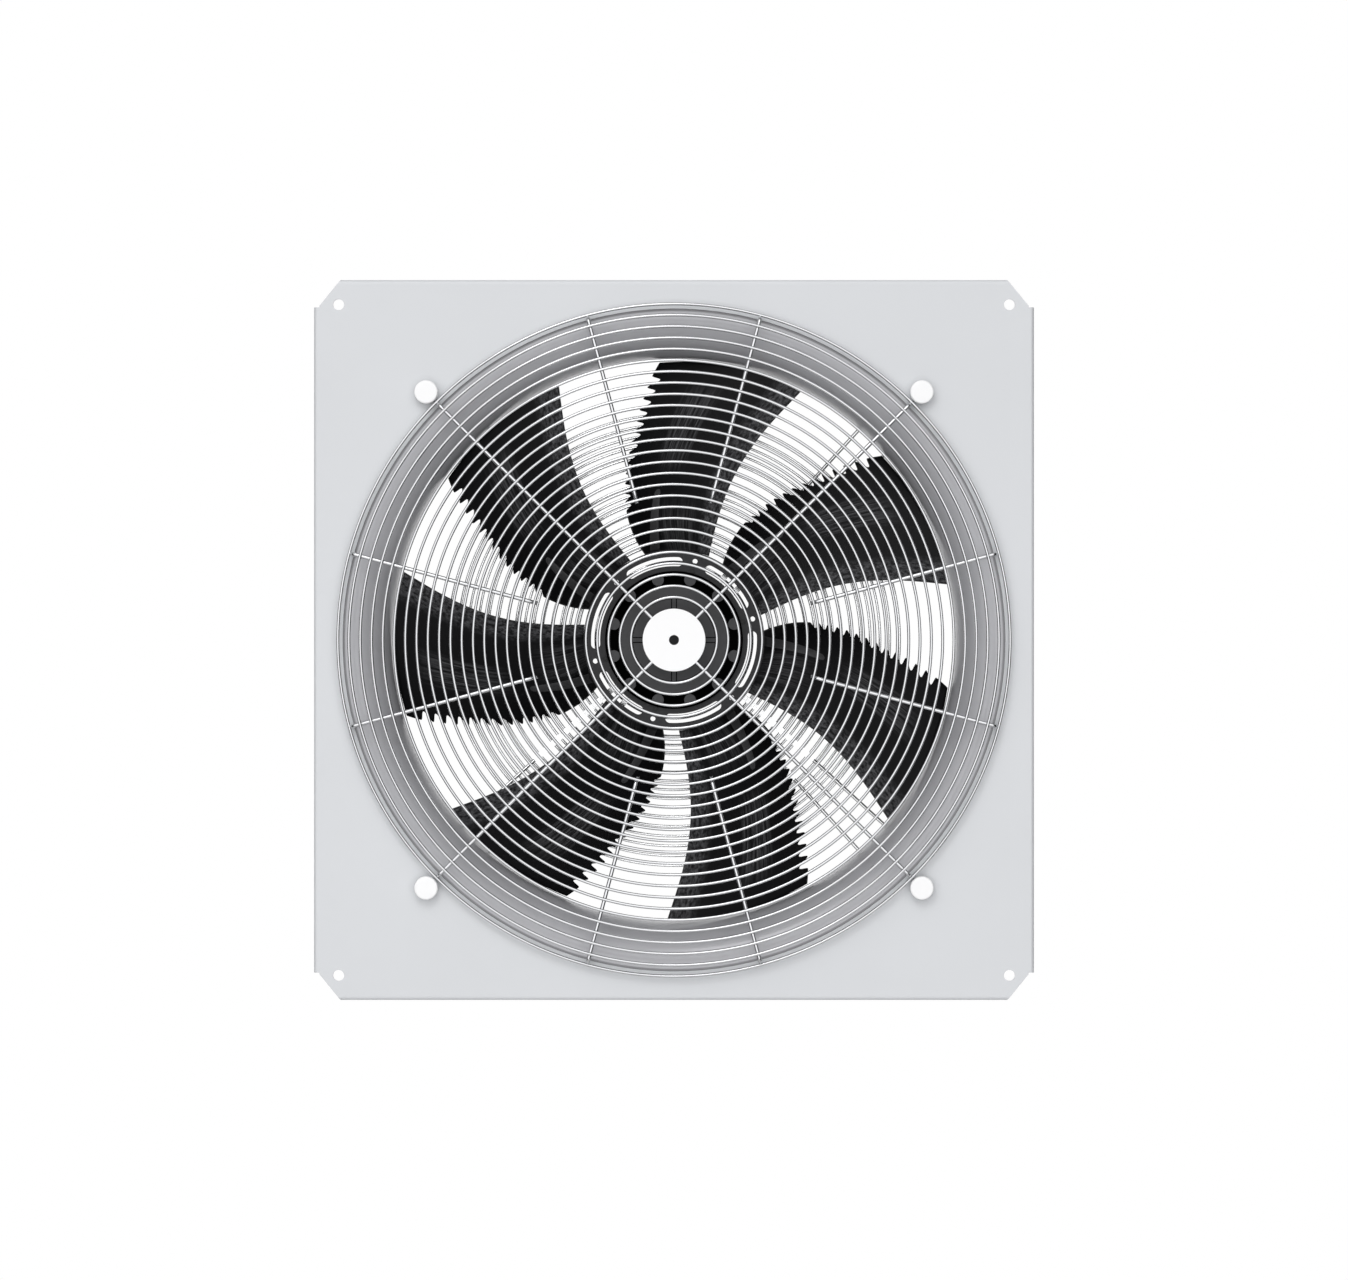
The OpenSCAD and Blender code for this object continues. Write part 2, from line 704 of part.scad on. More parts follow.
// The four quarters of the pan in the rotor's face, drawn in by a margin from their edges
module pan_quarters(margin, low) {
    rib_w = pan_rib_w + 2 * margin;
    translate([0, 0, low]) difference() {
        tube(pan_r - margin, pan_in_r + margin, 0, rotor_front_z + cut - low);
        for (k = [0:3]) rotate([0, 0, 90 * k]) translate([0, -rib_w / 2, -cut])
            cube([pan_r + cut, rib_w, rotor_front_z + 3 * cut - low]);
    }
}

module rotor_bell() {
    color([0.16, 0.16, 0.17]) facing() difference() {
        union() {
            tube(rotor_r, magnet_r, rotor_rear_z, rotor_wall_z + cut);
            translate([0, 0, rotor_wall_z]) cylinder(r = rotor_r, h = rotor_front_t);
            tube(collar_out_r, collar_in_r, rotor_front_z - cut, rotor_front_z + collar_h);
            tube(rotor_flange_r, rotor_r - cut, flange_seat_z - rotor_flange_t, flange_seat_z);
            translate([0, 0, front_bearing_z]) cylinder(r = boss_r, h = boss_len + cut);
        }
        translate([0, 0, rotor_front_z - well_depth]) difference() {
            tube(well_out_r, well_in_r, 0, well_depth + cut);
            for (k = [0:lobe_count - 1]) rotate([0, 0, first_lobe_angle + 360 / lobe_count * k]) {
                translate([lobe_in_r + lobe_w / 2, 0, 0]) cylinder(d = lobe_w, h = well_depth);
                translate([lobe_in_r + lobe_w / 2, -lobe_w / 2, 0]) cube([lobe_w, lobe_w, well_depth]);
            }
            for (k = [0:lobe_count - 1]) rotate([0, 0, 360 / lobe_count * k])
                translate([well_in_r - cut, -well_rib_w / 2, -cut])
                    cube([(well_out_r - well_in_r) / 2 + cut, well_rib_w, well_rib_h + cut]);
        }
        pan_quarters(0, rotor_front_z - pan_depth);
        difference() {
            pan_quarters(0, rotor_front_z - pan_groove_depth);
            pan_quarters(pan_groove_w, rotor_front_z - pan_groove_depth - cut);
        }
        translate([0, 0, front_bearing_z - cut])
            cylinder(r = shaft_d / 2 + press_gap, h = shaft_front_z - front_bearing_z + cut);
        at_hub_screws() translate([0, 0, flange_seat_z - rotor_flange_t - cut])
            cylinder(r = hub_screw_d / 2 + thread_clear, h = rotor_flange_t + 2 * cut);
    }
}

module rotor_magnets() {
    pitch = 360 / magnet_count;
    share = 0.86;
    color([0.3, 0.3, 0.32]) facing() for (k = [0:magnet_count - 1])
        rotate([0, 0, pitch * k]) translate([0, 0, magnet_rear_z])
            rotate_extrude(angle = pitch * share, $fn = 180)
                translate([magnet_r - magnet_t, 0])
                    square([magnet_t - seat_gap, magnet_front_z - magnet_rear_z]);
}

module rotor_shaft() {
    clip_z = rear_bearing_z - bearing_w;
    color([0.7, 0.71, 0.73]) facing() difference() {
        translate([0, 0, shaft_rear_z]) cylinder(d = shaft_d, h = shaft_front_z - shaft_rear_z);
        tube(shaft_d, shaft_d / 2 - circlip_depth, clip_z - circlip_t - seat_gap, clip_z);
    }
}

module shaft_circlip() {
    top = rear_bearing_z - bearing_w - seat_gap / 2;
    inner = shaft_d / 2 - circlip_depth + seat_gap;
    color([0.45, 0.46, 0.48]) facing() difference() {
        tube(inner + circlip_w, inner, top - circlip_t, top);
        translate([0, -1.5, top - circlip_t - cut]) cube([2 * shaft_d, 3, circlip_t + 2 * cut]);
    }
}

// Both bearings: the front one lies against the rotor's boss, the rear one against the tube's step
module at_bearings() {
    for (z = [front_bearing_z, rear_bearing_z]) translate([0, 0, z - bearing_w]) children();
}

module ball_groove() {
    translate([0, 0, bearing_w / 2]) rotate_extrude($fn = 96)
        translate([ball_path_r, 0]) circle(r = ball_r + ball_gap, $fn = 48);
}

module bearing_inner_rings() {
    color([0.72, 0.73, 0.75]) facing() at_bearings() difference() {
        tube(inner_ring_r, shaft_d / 2 + press_gap, 0, bearing_w);
        ball_groove();
    }
}

module bearing_outer_rings() {
    color([0.72, 0.73, 0.75]) facing() at_bearings() difference() {
        tube(bearing_r, outer_ring_r, 0, bearing_w);
        ball_groove();
    }
}

module at_balls() {
    for (k = [0:ball_count - 1]) rotate([0, 0, 360 / ball_count * k])
        translate([ball_path_r, 0, bearing_w / 2]) children();
}

module bearing_balls() {
    color([0.85, 0.86, 0.88]) facing() at_bearings() at_balls() sphere(r = ball_r, $fn = 48);
}

module bearing_cages() {
    half_t = 0.8;
    half_w = ball_r + 1;
    color([0.7, 0.6, 0.35]) facing() at_bearings() difference() {
        tube(ball_path_r + half_t, ball_path_r - half_t,
            bearing_w / 2 - half_w, bearing_w / 2 + half_w);
        at_balls() rotate([0, 90, 0]) cylinder(r = ball_r + ball_gap, h = 4 * half_t, center = true);
    }
}

/* Motor, standing pieces */

module preload_washer() {
    top = front_bearing_z - bearing_w;
    color([0.5, 0.5, 0.52]) facing()
        tube(bearing_r - 0.3, tube_step_r + 0.5, top - washer_spring_t, top);
}

module bearing_cover() {
    thickness = 4;
    color([0.5, 0.5, 0.52]) facing() translate([0, 0, flange_rear_z])
        cylinder(r = bearing_r - press_gap, h = thickness);
}

module at_case_bosses() {
    for (k = [0:3]) rotate([0, 0, 45 + 90 * k]) translate([boss_u, 0, 0]) children();
}

module at_bracket_screws() {
    at_rod_lines() translate([bracket_screw_u, 0, 0]) children();
}

module stator_flange() {
    thread_depth = 9;
    color([0.72, 0.73, 0.74]) facing() difference() {
        union() {
            translate([0, 0, flange_rear_z]) cylinder(r = flange_r, h = flange_t);
            translate([0, 0, flange_rear_z]) cylinder(r = tube_r, h = tube_front_z - flange_rear_z);
        }
        translate([0, 0, flange_rear_z - cut])
            cylinder(r = bearing_r + press_gap, h = rear_bearing_z - flange_rear_z + cut);
        translate([0, 0, front_bearing_z - bearing_w - washer_spring_t])
            cylinder(r = bearing_r + press_gap, h = bearing_w + washer_spring_t + 2 * cut);
        translate([0, 0, flange_rear_z]) cylinder(r = tube_step_r, h = tube_front_z - flange_rear_z);
        at_case_bosses() translate([0, 0, flange_rear_z - cut])
            cylinder(r = cover_screw_d / 2 + thread_clear, h = thread_depth + cut);
        at_bracket_screws() translate([0, 0, flange_rear_z - cut])
            cylinder(r = bracket_screw_d / 2 + thread_clear, h = thread_depth + cut);
    }
}

tooth_w = 8;
yoke_t = 8;
shoe_t = 3;
shoe_share = 0.78;

module stator_core() {
    color([0.5, 0.52, 0.55]) facing() translate([0, 0, stack_rear_z]) difference() {
        union() {
            cylinder(r = tube_r + yoke_t, h = stack_len);
            for (k = [0:stator_teeth - 1]) rotate([0, 0, 360 / stator_teeth * k]) {
                translate([tube_r + yoke_t / 2, -tooth_w / 2, 0])
                    cube([stator_r - tube_r - yoke_t / 2 - shoe_t / 2, tooth_w, stack_len]);
                rotate([0, 0, -180 / stator_teeth * shoe_share])
                    rotate_extrude(angle = 360 / stator_teeth * shoe_share)
                        translate([stator_r - shoe_t, 0]) square([shoe_t, stack_len]);
            }
        }
        translate([0, 0, -cut]) cylinder(r = tube_r + press_gap, h = stack_len + 2 * cut);
    }
}

module stator_windings() {
    gap = 0.3;
    near = tube_r + yoke_t + 1;
    side_w = min(3.6, near * tan(180 / stator_teeth) - tooth_w / 2 - gap - 0.4);
    inner_w = tooth_w + 2 * gap;
    far = sqrt(pow(stator_r - shoe_t - gap, 2) - pow(inner_w / 2 + side_w, 2));
    color([0.72, 0.4, 0.2]) facing() for (k = [0:stator_teeth - 1]) rotate([0, 0, 360 / stator_teeth * k])
        translate([0, 0, stack_rear_z - coil_over]) difference() {
            translate([near, -inner_w / 2 - side_w, 0])
                cube([far - near, inner_w + 2 * side_w, stack_len + 2 * coil_over]);
            translate([near - cut, -inner_w / 2, coil_over - gap])
                cube([far - near + 2 * cut, inner_w, stack_len + 2 * gap]);
        }
}

/* Motor basket */

module motor_bracket() {
    color([0.7, 0.71, 0.72]) facing() difference() {
        union() {
            translate([0, 0, bracket_z - bracket_t]) cylinder(r = bracket_ring_r, h = bracket_t);
            at_rod_lines() translate([case_r, -arm_w / 2, bracket_z - bracket_t])
                cube([arm_end_r - case_r, arm_w, bracket_t]);
        }
        translate([0, 0, bracket_z - bracket_t - cut])
            cylinder(r = case_r + bolt_clear, h = bracket_t + 2 * cut);
        at_bracket_screws() translate([0, 0, bracket_z - bracket_t - cut])
            cylinder(r = bracket_screw_d / 2 + bolt_clear, h = bracket_t + 2 * cut);
    }
}

module bracket_screws() {
    grip = 8;
    color([0.75, 0.76, 0.78]) facing() at_bracket_screws() {
        translate([0, 0, bracket_z - bracket_t - bracket_head_h])
            cylinder(r = bracket_head_r, h = bracket_head_h);
        translate([0, 0, bracket_z - bracket_t])
            cylinder(d = bracket_screw_d, h = bracket_t + grip);
    }
}

rod_path = [[rod_start_r, rod_z], [arm_end_r, rod_z], [rod_turn_r, -rod_turn_z],
    [rod_foot_r, rod_foot_z], [rod_end_r, rod_foot_z]];

module basket_rods() {
    color([0.72, 0.73, 0.74]) facing() at_rod_lines() upright()
        bent_wire(rod_path, rod_d, rod_bend_r);
}

// Height of a rod's centre line at a radius inside the forward turn
function rod_height(r) = r < arm_end_r ? rod_z : rod_z - (r - arm_end_r) * rod_slope;

module basket_ring_run(radii) {
    lean = atan(rod_slope);
    color([0.72, 0.73, 0.74]) facing() for (r = radii)
        translate([0, 0, rod_height(r) - ring_drop / (r < arm_end_r ? 1 : cos(lean))])
            wire_ring(r, basket_wire_d);
}

module basket_inner_rings() {
    basket_ring_run(inner_rings);
}

module basket_outer_rings() {
    basket_ring_run(slope_rings);
}

module basket_feet() {
    color([0.72, 0.73, 0.74]) facing() at_diagonals() difference() {
        translate([foot_front_u, -foot_w / 2, -foot_t]) cube([foot_len, foot_w, foot_t]);
        translate([foot_u, 0, -foot_t - cut]) cylinder(r = bolt_d / 2 + bolt_clear, h = foot_t + 2 * cut);
    }
}

/* Electronics */

module electronics_case() {
    color([0.7, 0.71, 0.72]) facing() difference() {
        union() {
            tube(case_r, case_r - case_wall, case_rear_z, case_front_z);
            at_case_bosses() translate([0, 0, board_z]) {
                cylinder(r = case_boss_r, h = case_front_z - board_z);
                translate([0, -boss_rib_t / 2, 0])
                    cube([case_r - boss_u - case_wall / 2, boss_rib_t, case_front_z - board_z]);
            }
        }
        at_case_bosses() translate([0, 0, board_z - cut])
            cylinder(r = cover_screw_d / 2 + bolt_clear, h = case_front_z - board_z + 2 * cut);
        translate([0, -case_r + case_wall + cut, gland_z]) rotate([90, 0, 0])
            cylinder(r = gland_r + thread_clear, h = case_wall + 2 * cut);
    }
}

module cover_gasket() {
    color([0.1, 0.1, 0.1]) facing() tube(case_r, case_r - case_wall, cover_z, case_rear_z);
}

module case_cover() {
    color([0.7, 0.71, 0.72]) facing() difference() {
        union() {
            translate([0, 0, cover_z - cover_t]) cylinder(r = case_r, h = cover_t);
            at_case_bosses() translate([0, 0, cover_z - cut])
                cylinder(r = case_boss_r, h = board_z - board_t - cover_z + cut);
        }
        at_case_bosses() translate([0, 0, cover_z - cover_t - cut])
            cylinder(r = cover_screw_d / 2 + bolt_clear, h = board_z - cover_z + cover_t + 2 * cut);
    }
}

module cover_screws() {
    seat = cover_z - cover_t;
    grip = 8;
    color([0.75, 0.76, 0.78]) facing() at_case_bosses() {
        translate([0, 0, seat - cover_head_h]) cylinder(r = cover_head_r, h = cover_head_h);
        translate([0, 0, seat]) cylinder(d = cover_screw_d, h = case_front_z + grip - seat);
    }
}

module circuit_board() {
    board_clear = 1;
    color([0.1, 0.35, 0.18]) facing() translate([0, 0, board_z - board_t]) difference() {
        cylinder(r = case_r - case_wall - board_clear, h = board_t);
        at_case_bosses() translate([0, 0, -cut])
            cylinder(r = cover_screw_d / 2 + bolt_clear, h = board_t + 2 * cut);
    }
}

module terminal_block() {
    size = [24, 11, 10];
    low_y = 18 - case_r;
    pole_pitch = 8;
    pole_r = 2.2;
    floor_t = 4;
    color([0.2, 0.45, 0.3]) facing() difference() {
        translate([-size[0] / 2, low_y, board_z]) cube(size);
        for (k = [-1:1]) translate([pole_pitch * k, low_y + size[1] / 2, board_z + floor_t])
            cylinder(r = pole_r, h = size[2]);
    }
}

module capacitors() {
    can_r = 6;
    can_h = 20;
    can_pitch = 14;
    can_y = case_r - 30;
    color([0.15, 0.15, 0.3]) facing() for (k = [-1:1])
        translate([can_pitch * k, can_y, board_z]) cylinder(r = can_r, h = can_h);
}

// The gland points straight down from the housing
module at_gland() {
    translate([0, -case_r, gland_z]) rotate([90, 0, 0]) children();
}

module gland_body() {
    inside = case_wall + 3;
    spigot_h = 8;
    color([0.15, 0.15, 0.16]) facing() at_gland() difference() {
        union() {
            hexagon(gland_af, gland_hex_h);
            translate([0, 0, -inside]) cylinder(r = gland_r, h = inside + cut);
            translate([0, 0, gland_hex_h - cut]) cylinder(r = gland_r - 1, h = spigot_h + cut);
        }
        translate([0, 0, -inside - cut]) cylinder(r = cable_r + 1, h = inside + gland_len);
        translate([0, 0, gland_hex_h]) cylinder(r = cable_r + seal_wall, h = gland_len);
    }
}

module gland_seal() {
    seal_h = 10;
    color([0.05, 0.05, 0.05]) facing() at_gland()
        tube(cable_r + seal_wall - press_gap, cable_r, gland_hex_h, gland_hex_h + seal_h);
}

module gland_nut() {
    color([0.15, 0.15, 0.16]) facing() at_gland() difference() {
        union() {
            translate([0, 0, gland_hex_h + seat_gap]) hexagon(gland_af, gland_nut_h / 2);
            translate([0, 0, gland_hex_h + seat_gap + gland_nut_h / 2 - cut])
                cylinder(r = gland_af / 2 - 1, h = gland_nut_h / 2 + cut - seat_gap);
        }
        translate([0, 0, gland_hex_h - cut]) cylinder(r = gland_r - 1 + thread_clear, h = 11 + cut);
        translate([0, 0, gland_hex_h]) cylinder(r = cable_r + 0.5, h = gland_len);
    }
}

wall_plate();
inlet_nozzle();
guard_inner_rings();
guard_middle_rings();
guard_outer_rings();
guard_long_spokes();
guard_short_spokes();
guard_centre_disc();
bolt_caps();
support_bolts();
front_washers();
rear_washers();
support_nuts();
impeller_hub();
impeller_screws();
for (k = [1:blade_count]) blade(k);
rotor_bell();
rotor_magnets();
rotor_shaft();
shaft_circlip();
bearing_inner_rings();
bearing_outer_rings();
bearing_balls();
bearing_cages();
preload_washer();
bearing_cover();
stator_flange();
stator_core();
stator_windings();
motor_bracket();
bracket_screws();
basket_rods();
basket_inner_rings();
basket_outer_rings();
basket_feet();
electronics_case();
case_cover();
cover_gasket();
cover_screws();
circuit_board();
terminal_block();
capacitors();
gland_body();
gland_seal();
gland_nut();
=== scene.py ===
"""Looks of the axial extractor fan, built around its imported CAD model.

Metres, in the CAD model's frame: +Z up, the guard side faces -Y, the origin lies on the fan's
axis at the back face of the wall plate. Points given as (x, y, front) are in millimetres, seen
from the guard side, with "front" counted towards the viewer.
"""
import math
import random

import bmesh
import bpy
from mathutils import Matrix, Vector


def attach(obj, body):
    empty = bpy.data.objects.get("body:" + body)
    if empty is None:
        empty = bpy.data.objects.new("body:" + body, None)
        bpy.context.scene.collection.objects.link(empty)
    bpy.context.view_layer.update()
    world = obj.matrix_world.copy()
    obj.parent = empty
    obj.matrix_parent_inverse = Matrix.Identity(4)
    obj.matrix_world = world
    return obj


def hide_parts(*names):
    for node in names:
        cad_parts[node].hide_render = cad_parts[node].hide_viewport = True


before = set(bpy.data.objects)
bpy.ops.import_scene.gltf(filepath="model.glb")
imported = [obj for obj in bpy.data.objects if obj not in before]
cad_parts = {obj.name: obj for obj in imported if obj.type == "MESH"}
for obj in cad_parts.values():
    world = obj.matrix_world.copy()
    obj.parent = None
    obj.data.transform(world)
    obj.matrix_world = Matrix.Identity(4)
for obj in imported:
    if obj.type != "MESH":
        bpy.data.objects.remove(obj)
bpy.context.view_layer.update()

MM = 0.001

# Picture: the camera's distance is in metres, from the front of the plate's sheet
IMAGE_W = 1348
PIXELS_PER_MM = 0.9938
CAMERA_DISTANCE = 4.0
PLATE_FRONT = 0.002
SENSOR_W = 36.0

# Guard and basket, in millimetres
WELD_GAP = 0.1
MOUTH_R = 332.0
RING_FIRST_R = 43.0
RING_PITCH = 11.3
FACE_RINGS = 26
RING_D = 3.0
SPOKE_D = 4.0
GUARD_FRONT = 22.0
SPOKE_FRONT = GUARD_FRONT - RING_D / 2 - SPOKE_D / 2 - WELD_GAP
EYE_R = 6.5
EYE_FRONT = 4.05
RIM_RING_R = MOUTH_R + 5.5
RIM_RING_FRONT = (SPOKE_FRONT + EYE_FRONT) / 2
LEG_R = RIM_RING_R - RING_D / 2 - SPOKE_D / 2 - WELD_GAP
SUPPORT_R = RIM_RING_R + 14.5
LONG_SPOKE_START = 14.0
SHORT_LEG_FRONT = 2.05
SPOKE_BEND = 4.0
WIRE_STEP = 12.0
SHORT_SPOKE_RING = 9
OUTER_RING = 18
DIAGONALS = [45 + 90 * k for k in range(4)]
SHORT_SPOKE_ANGLES = [15 + 30 * k for k in range(12) if k % 3 != 1]
ROD_D = 4.0
ROD_PATH = ((79.0, -118.05), (190.0, -118.05), (294.0, -104.0), (341.0, -5.05), (368.0, -5.05))
ROD_BEND = 12.0
ROD_OFFSET = 5.5
ROD_SPLAY = 2.6
BASKET_D = 3.0
ARM_END_R = 190.0
INNER_BASKET_RINGS = [81.2 + 102 * k / 11 for k in range(12)]
SLOPE_BASKET_RINGS = [193.33 + 10.088 * k for k in range(5)] + [242.94 + 11.7 * k for k in range(4)]

# Weld beads: half sizes in metres, and how uneven they are
RING_WELD = (1.7 * MM, 0.7 * MM, 1.7 * MM)
LEG_WELD = (0.9 * MM, 1.6 * MM, 0.9 * MM)
GUARD_WELD_ROUGH = 0.08
BASKET_WELD = (1.8 * MM, 0.8 * MM, 1.8 * MM)
BASKET_WELD_ROUGH = 0.1

# Blades, in millimetres and degrees
BLADE_COUNT = 7
FIRST_BLADE = 11.4
ROOT_R = 91.8
TIP_R = 284.5
LEADING = (4.7, 11.9, 3.9, 0.0)
TRAILING = (45.6, 54.9, 37.7, 37.0, 30.1)
BLADE_FRONT = -24.0
DEPTH_ROOT = 62.0
DEPTH_TIP = 46.0
CAMBER = 0.3
EDGE_T = 1.2
THICK_ROOT = 6.0
THICK_TIP = 3.6
ROOT_FILLET = 2.2
FILLET_REACH = 3.0
TOOTH_FIRST_R = 145.6
TOOTH_END_R = TIP_R - 18.0
TOOTH_COUNT = 12
TOOTH_GROWTH = 0.11
TOOTH_ANGLE = 2.3
TOOTH_PEAK = 0.46
FIRST_FLANK = 4.8
LAST_FLANK = 5.0
RIB_START, RIB_LENGTH = 93.0, 62.0
RIB_WIDTH, RIB_TAPER, RIB_HEIGHT = 11.0, 4.0, 1.2
RIB_SINK = 0.3
RIB_ANGLE, RIB_LEAN, RIB_CURVE = 38.1, 3.6, 1.8
BLADE_MAP = "chord_and_span"

# Depths in metres over which the painted shade in the rotor's recess comes in and the painted shadow line
# at the nozzle's joint fades in and out
PAINTED_SHADE_STEP = 0.0007
SEAM_SHADOW_FADE_IN = 0.001
SEAM_SHADOW_FADE_OUT = 0.0003

# Stage and light: metres, watts and strengths of the surroundings
FLOOR_X = 1.4
FLOOR_FRONT, FLOOR_BACK = -1.6, 0.8
FLOOR_Z = -1.2
FLOOR_WHITE = 0.85
WHITE_LIGHT = (1.0, 1.0, 1.0)
DARK_SIDE = (0.02, 0.02, 0.021)
LIGHT_SIDE = (0.34, 0.34, 0.345)
FRONT_LIGHT = (1.58, 1.58, 1.59)
KEY_PLACE = (-0.5, -2.6, 1.9)
KEY_SIZE = 1.2
KEY_POWER = 11.0


def at(x, y, front):
    """A point given in millimetres, as seen from the guard side, in the model's frame."""
    return Vector((x * MM, -front * MM, y * MM))


def polar(r, angle, front):
    a = math.radians(angle)
    return at(r * math.cos(a), r * math.sin(a), front)


def rotated(x, y, a):
    """A place in a plane turned about the plane's origin, in radians."""
    return x * math.cos(a) - y * math.sin(a), x * math.sin(a) + y * math.cos(a)


# Meshes


def add_object(name, verts, faces, smooth=True):
    mesh = bpy.data.meshes.new(name)
    mesh.from_pydata([tuple(v) for v in verts], [], faces)
    mesh.validate()
    bm = bmesh.new()
    bm.from_mesh(mesh)
    bmesh.ops.remove_doubles(bm, verts=bm.verts, dist=0.0001 * MM)
    bmesh.ops.recalc_face_normals(bm, faces=bm.faces)
    for face in bm.faces:
        face.smooth = smooth
    bm.to_mesh(mesh)
    bm.free()
    obj = bpy.data.objects.new(name, mesh)
    bpy.context.scene.collection.objects.link(obj)
    return obj


class Shape:
    """Collects several closed meshes into one object."""

    def __init__(self):
        self.verts = []
        self.faces = []

    def add(self, verts, faces):
        base = len(self.verts)
        self.verts += verts
        self.faces += [[base + i for i in f] for f in faces]

    def tube(self, points, radius, closed=False, sides=12):
        """A round wire along points; its section turns with the path and never twists."""
        count = len(points)
        verts = []
        side = None
        for i, p in enumerate(points):
            before = points[(i - 1) % count] if closed or i > 0 else p
            after = points[(i + 1) % count] if closed or i < count - 1 else p
            along = (after - before).normalized()
            if side is None:
                side = along.orthogonal()
            side = (side - along * side.dot(along)).normalized()
            other = along.cross(side)
            for k in range(sides):
                a = 2 * math.pi * k / sides
                verts.append(p + (side * math.cos(a) + other * math.sin(a)) * radius)
        faces = []
        for i in range(count if closed else count - 1):
            for k in range(sides):
                a = i * sides + k
                b = i * sides + (k + 1) % sides
                c = ((i + 1) % count) * sides
                faces.append([a, b, c + (k + 1) % sides, c + k])
        if not closed:
            faces.append([k for k in reversed(range(sides))])
            faces.append([(count - 1) * sides + k for k in range(sides)])
        self.add(verts, faces)

    def ring(self, radius, wire, front, steps=288, sides=12):
        """A ring of round wire whose section keeps the same facing all round."""
        verts = []
        faces = []
        for i in range(steps):
            turn = 360 * i / steps
            for k in range(sides):
                a = 2 * math.pi * k / sides
                verts.append(polar(radius + wire * math.cos(a), turn, front + wire * math.sin(a)))
        for i in range(steps):
            for k in range(sides):
                j = (k + 1) % sides
                n = (i + 1) % steps
                faces.append([i * sides + k, n * sides + k, n * sides + j, i * sides + j])
        self.add(verts, faces)

    def lathe(self, profile, steps=256, centre=(0.0, 0.0)):
        """A closed (radius, front) outline turned about an axis parallel to the fan's."""
        verts = []
        faces = []
        count = len(profile)
        for i in range(steps):
            a = 2 * math.pi * i / steps
            for r, front in profile:
                verts.append(at(centre[0] + r * math.cos(a), centre[1] + r * math.sin(a), front))
        for i in range(steps):
            n = (i + 1) % steps
            for k in range(count):
                j = (k + 1) % count
                faces.append([i * count + k, n * count + k, n * count + j, i * count + j])
        self.add(verts, faces)

    def bead(self, centre, size, rough):
        """A small weld bead: a ball pressed flat, a little uneven."""
        bm = bmesh.new()
        bmesh.ops.create_icosphere(bm, subdivisions=2, radius=1.0)
        verts = []
        for v in bm.verts:
            bump = 1 + rough * random.uniform(-1, 1)
            verts.append(centre + Vector((v.co.x * size[0], v.co.y * size[1], v.co.z * size[2])) * bump)
        faces = [[v.index for v in f.verts] for f in bm.faces]
        bm.free()
        self.add(verts, faces)

    def build(self, name):
        return add_object(name, self.verts, self.faces)


def arc(centre, radius, start, end, steps):
    """Points (radius, front) of an arc, angles in degrees from the outward direction."""
    points = []
    for i in range(steps + 1):
        a = math.radians(start + (end - start) * i / steps)
        points.append((centre[0] + radius * math.cos(a), centre[1] + radius * math.sin(a)))
    return points


def rounded_path(corners, bend, steps=8):
    """Corners (along, front) of a wire's plane, with each inner corner turned into an arc."""
    points = [Vector(corners[0])]
    for i in range(1, len(corners) - 1):
        here = Vector(corners[i])
        back = (Vector(corners[i - 1]) - here).normalized()
        ahead = (Vector(corners[i + 1]) - here).normalized()
        half = back.angle(ahead) / 2
        trim = bend / math.tan(half)
        start = here + back * trim
        centre = here + (back + ahead).normalized() * (bend / math.sin(half))
        sweep = math.pi - 2 * half
        sign = 1 if back.x * ahead.y - back.y * ahead.x < 0 else -1
        arm = start - centre
        for k in range(steps + 1):
            points.append(centre + Vector(rotated(arm.x, arm.y, sign * sweep * k / steps)))
    points.append(Vector(corners[-1]))
    return points


def subdivide(points, longest):
    """The same path with extra points, so that no step is longer than given."""
    out = [points[0]]
    for a, b in zip(points, points[1:]):
        steps = max(1, math.ceil((b - a).length / longest))
        out += [a.lerp(b, k / steps) for k in range(1, steps + 1)]
    return out


# Materials


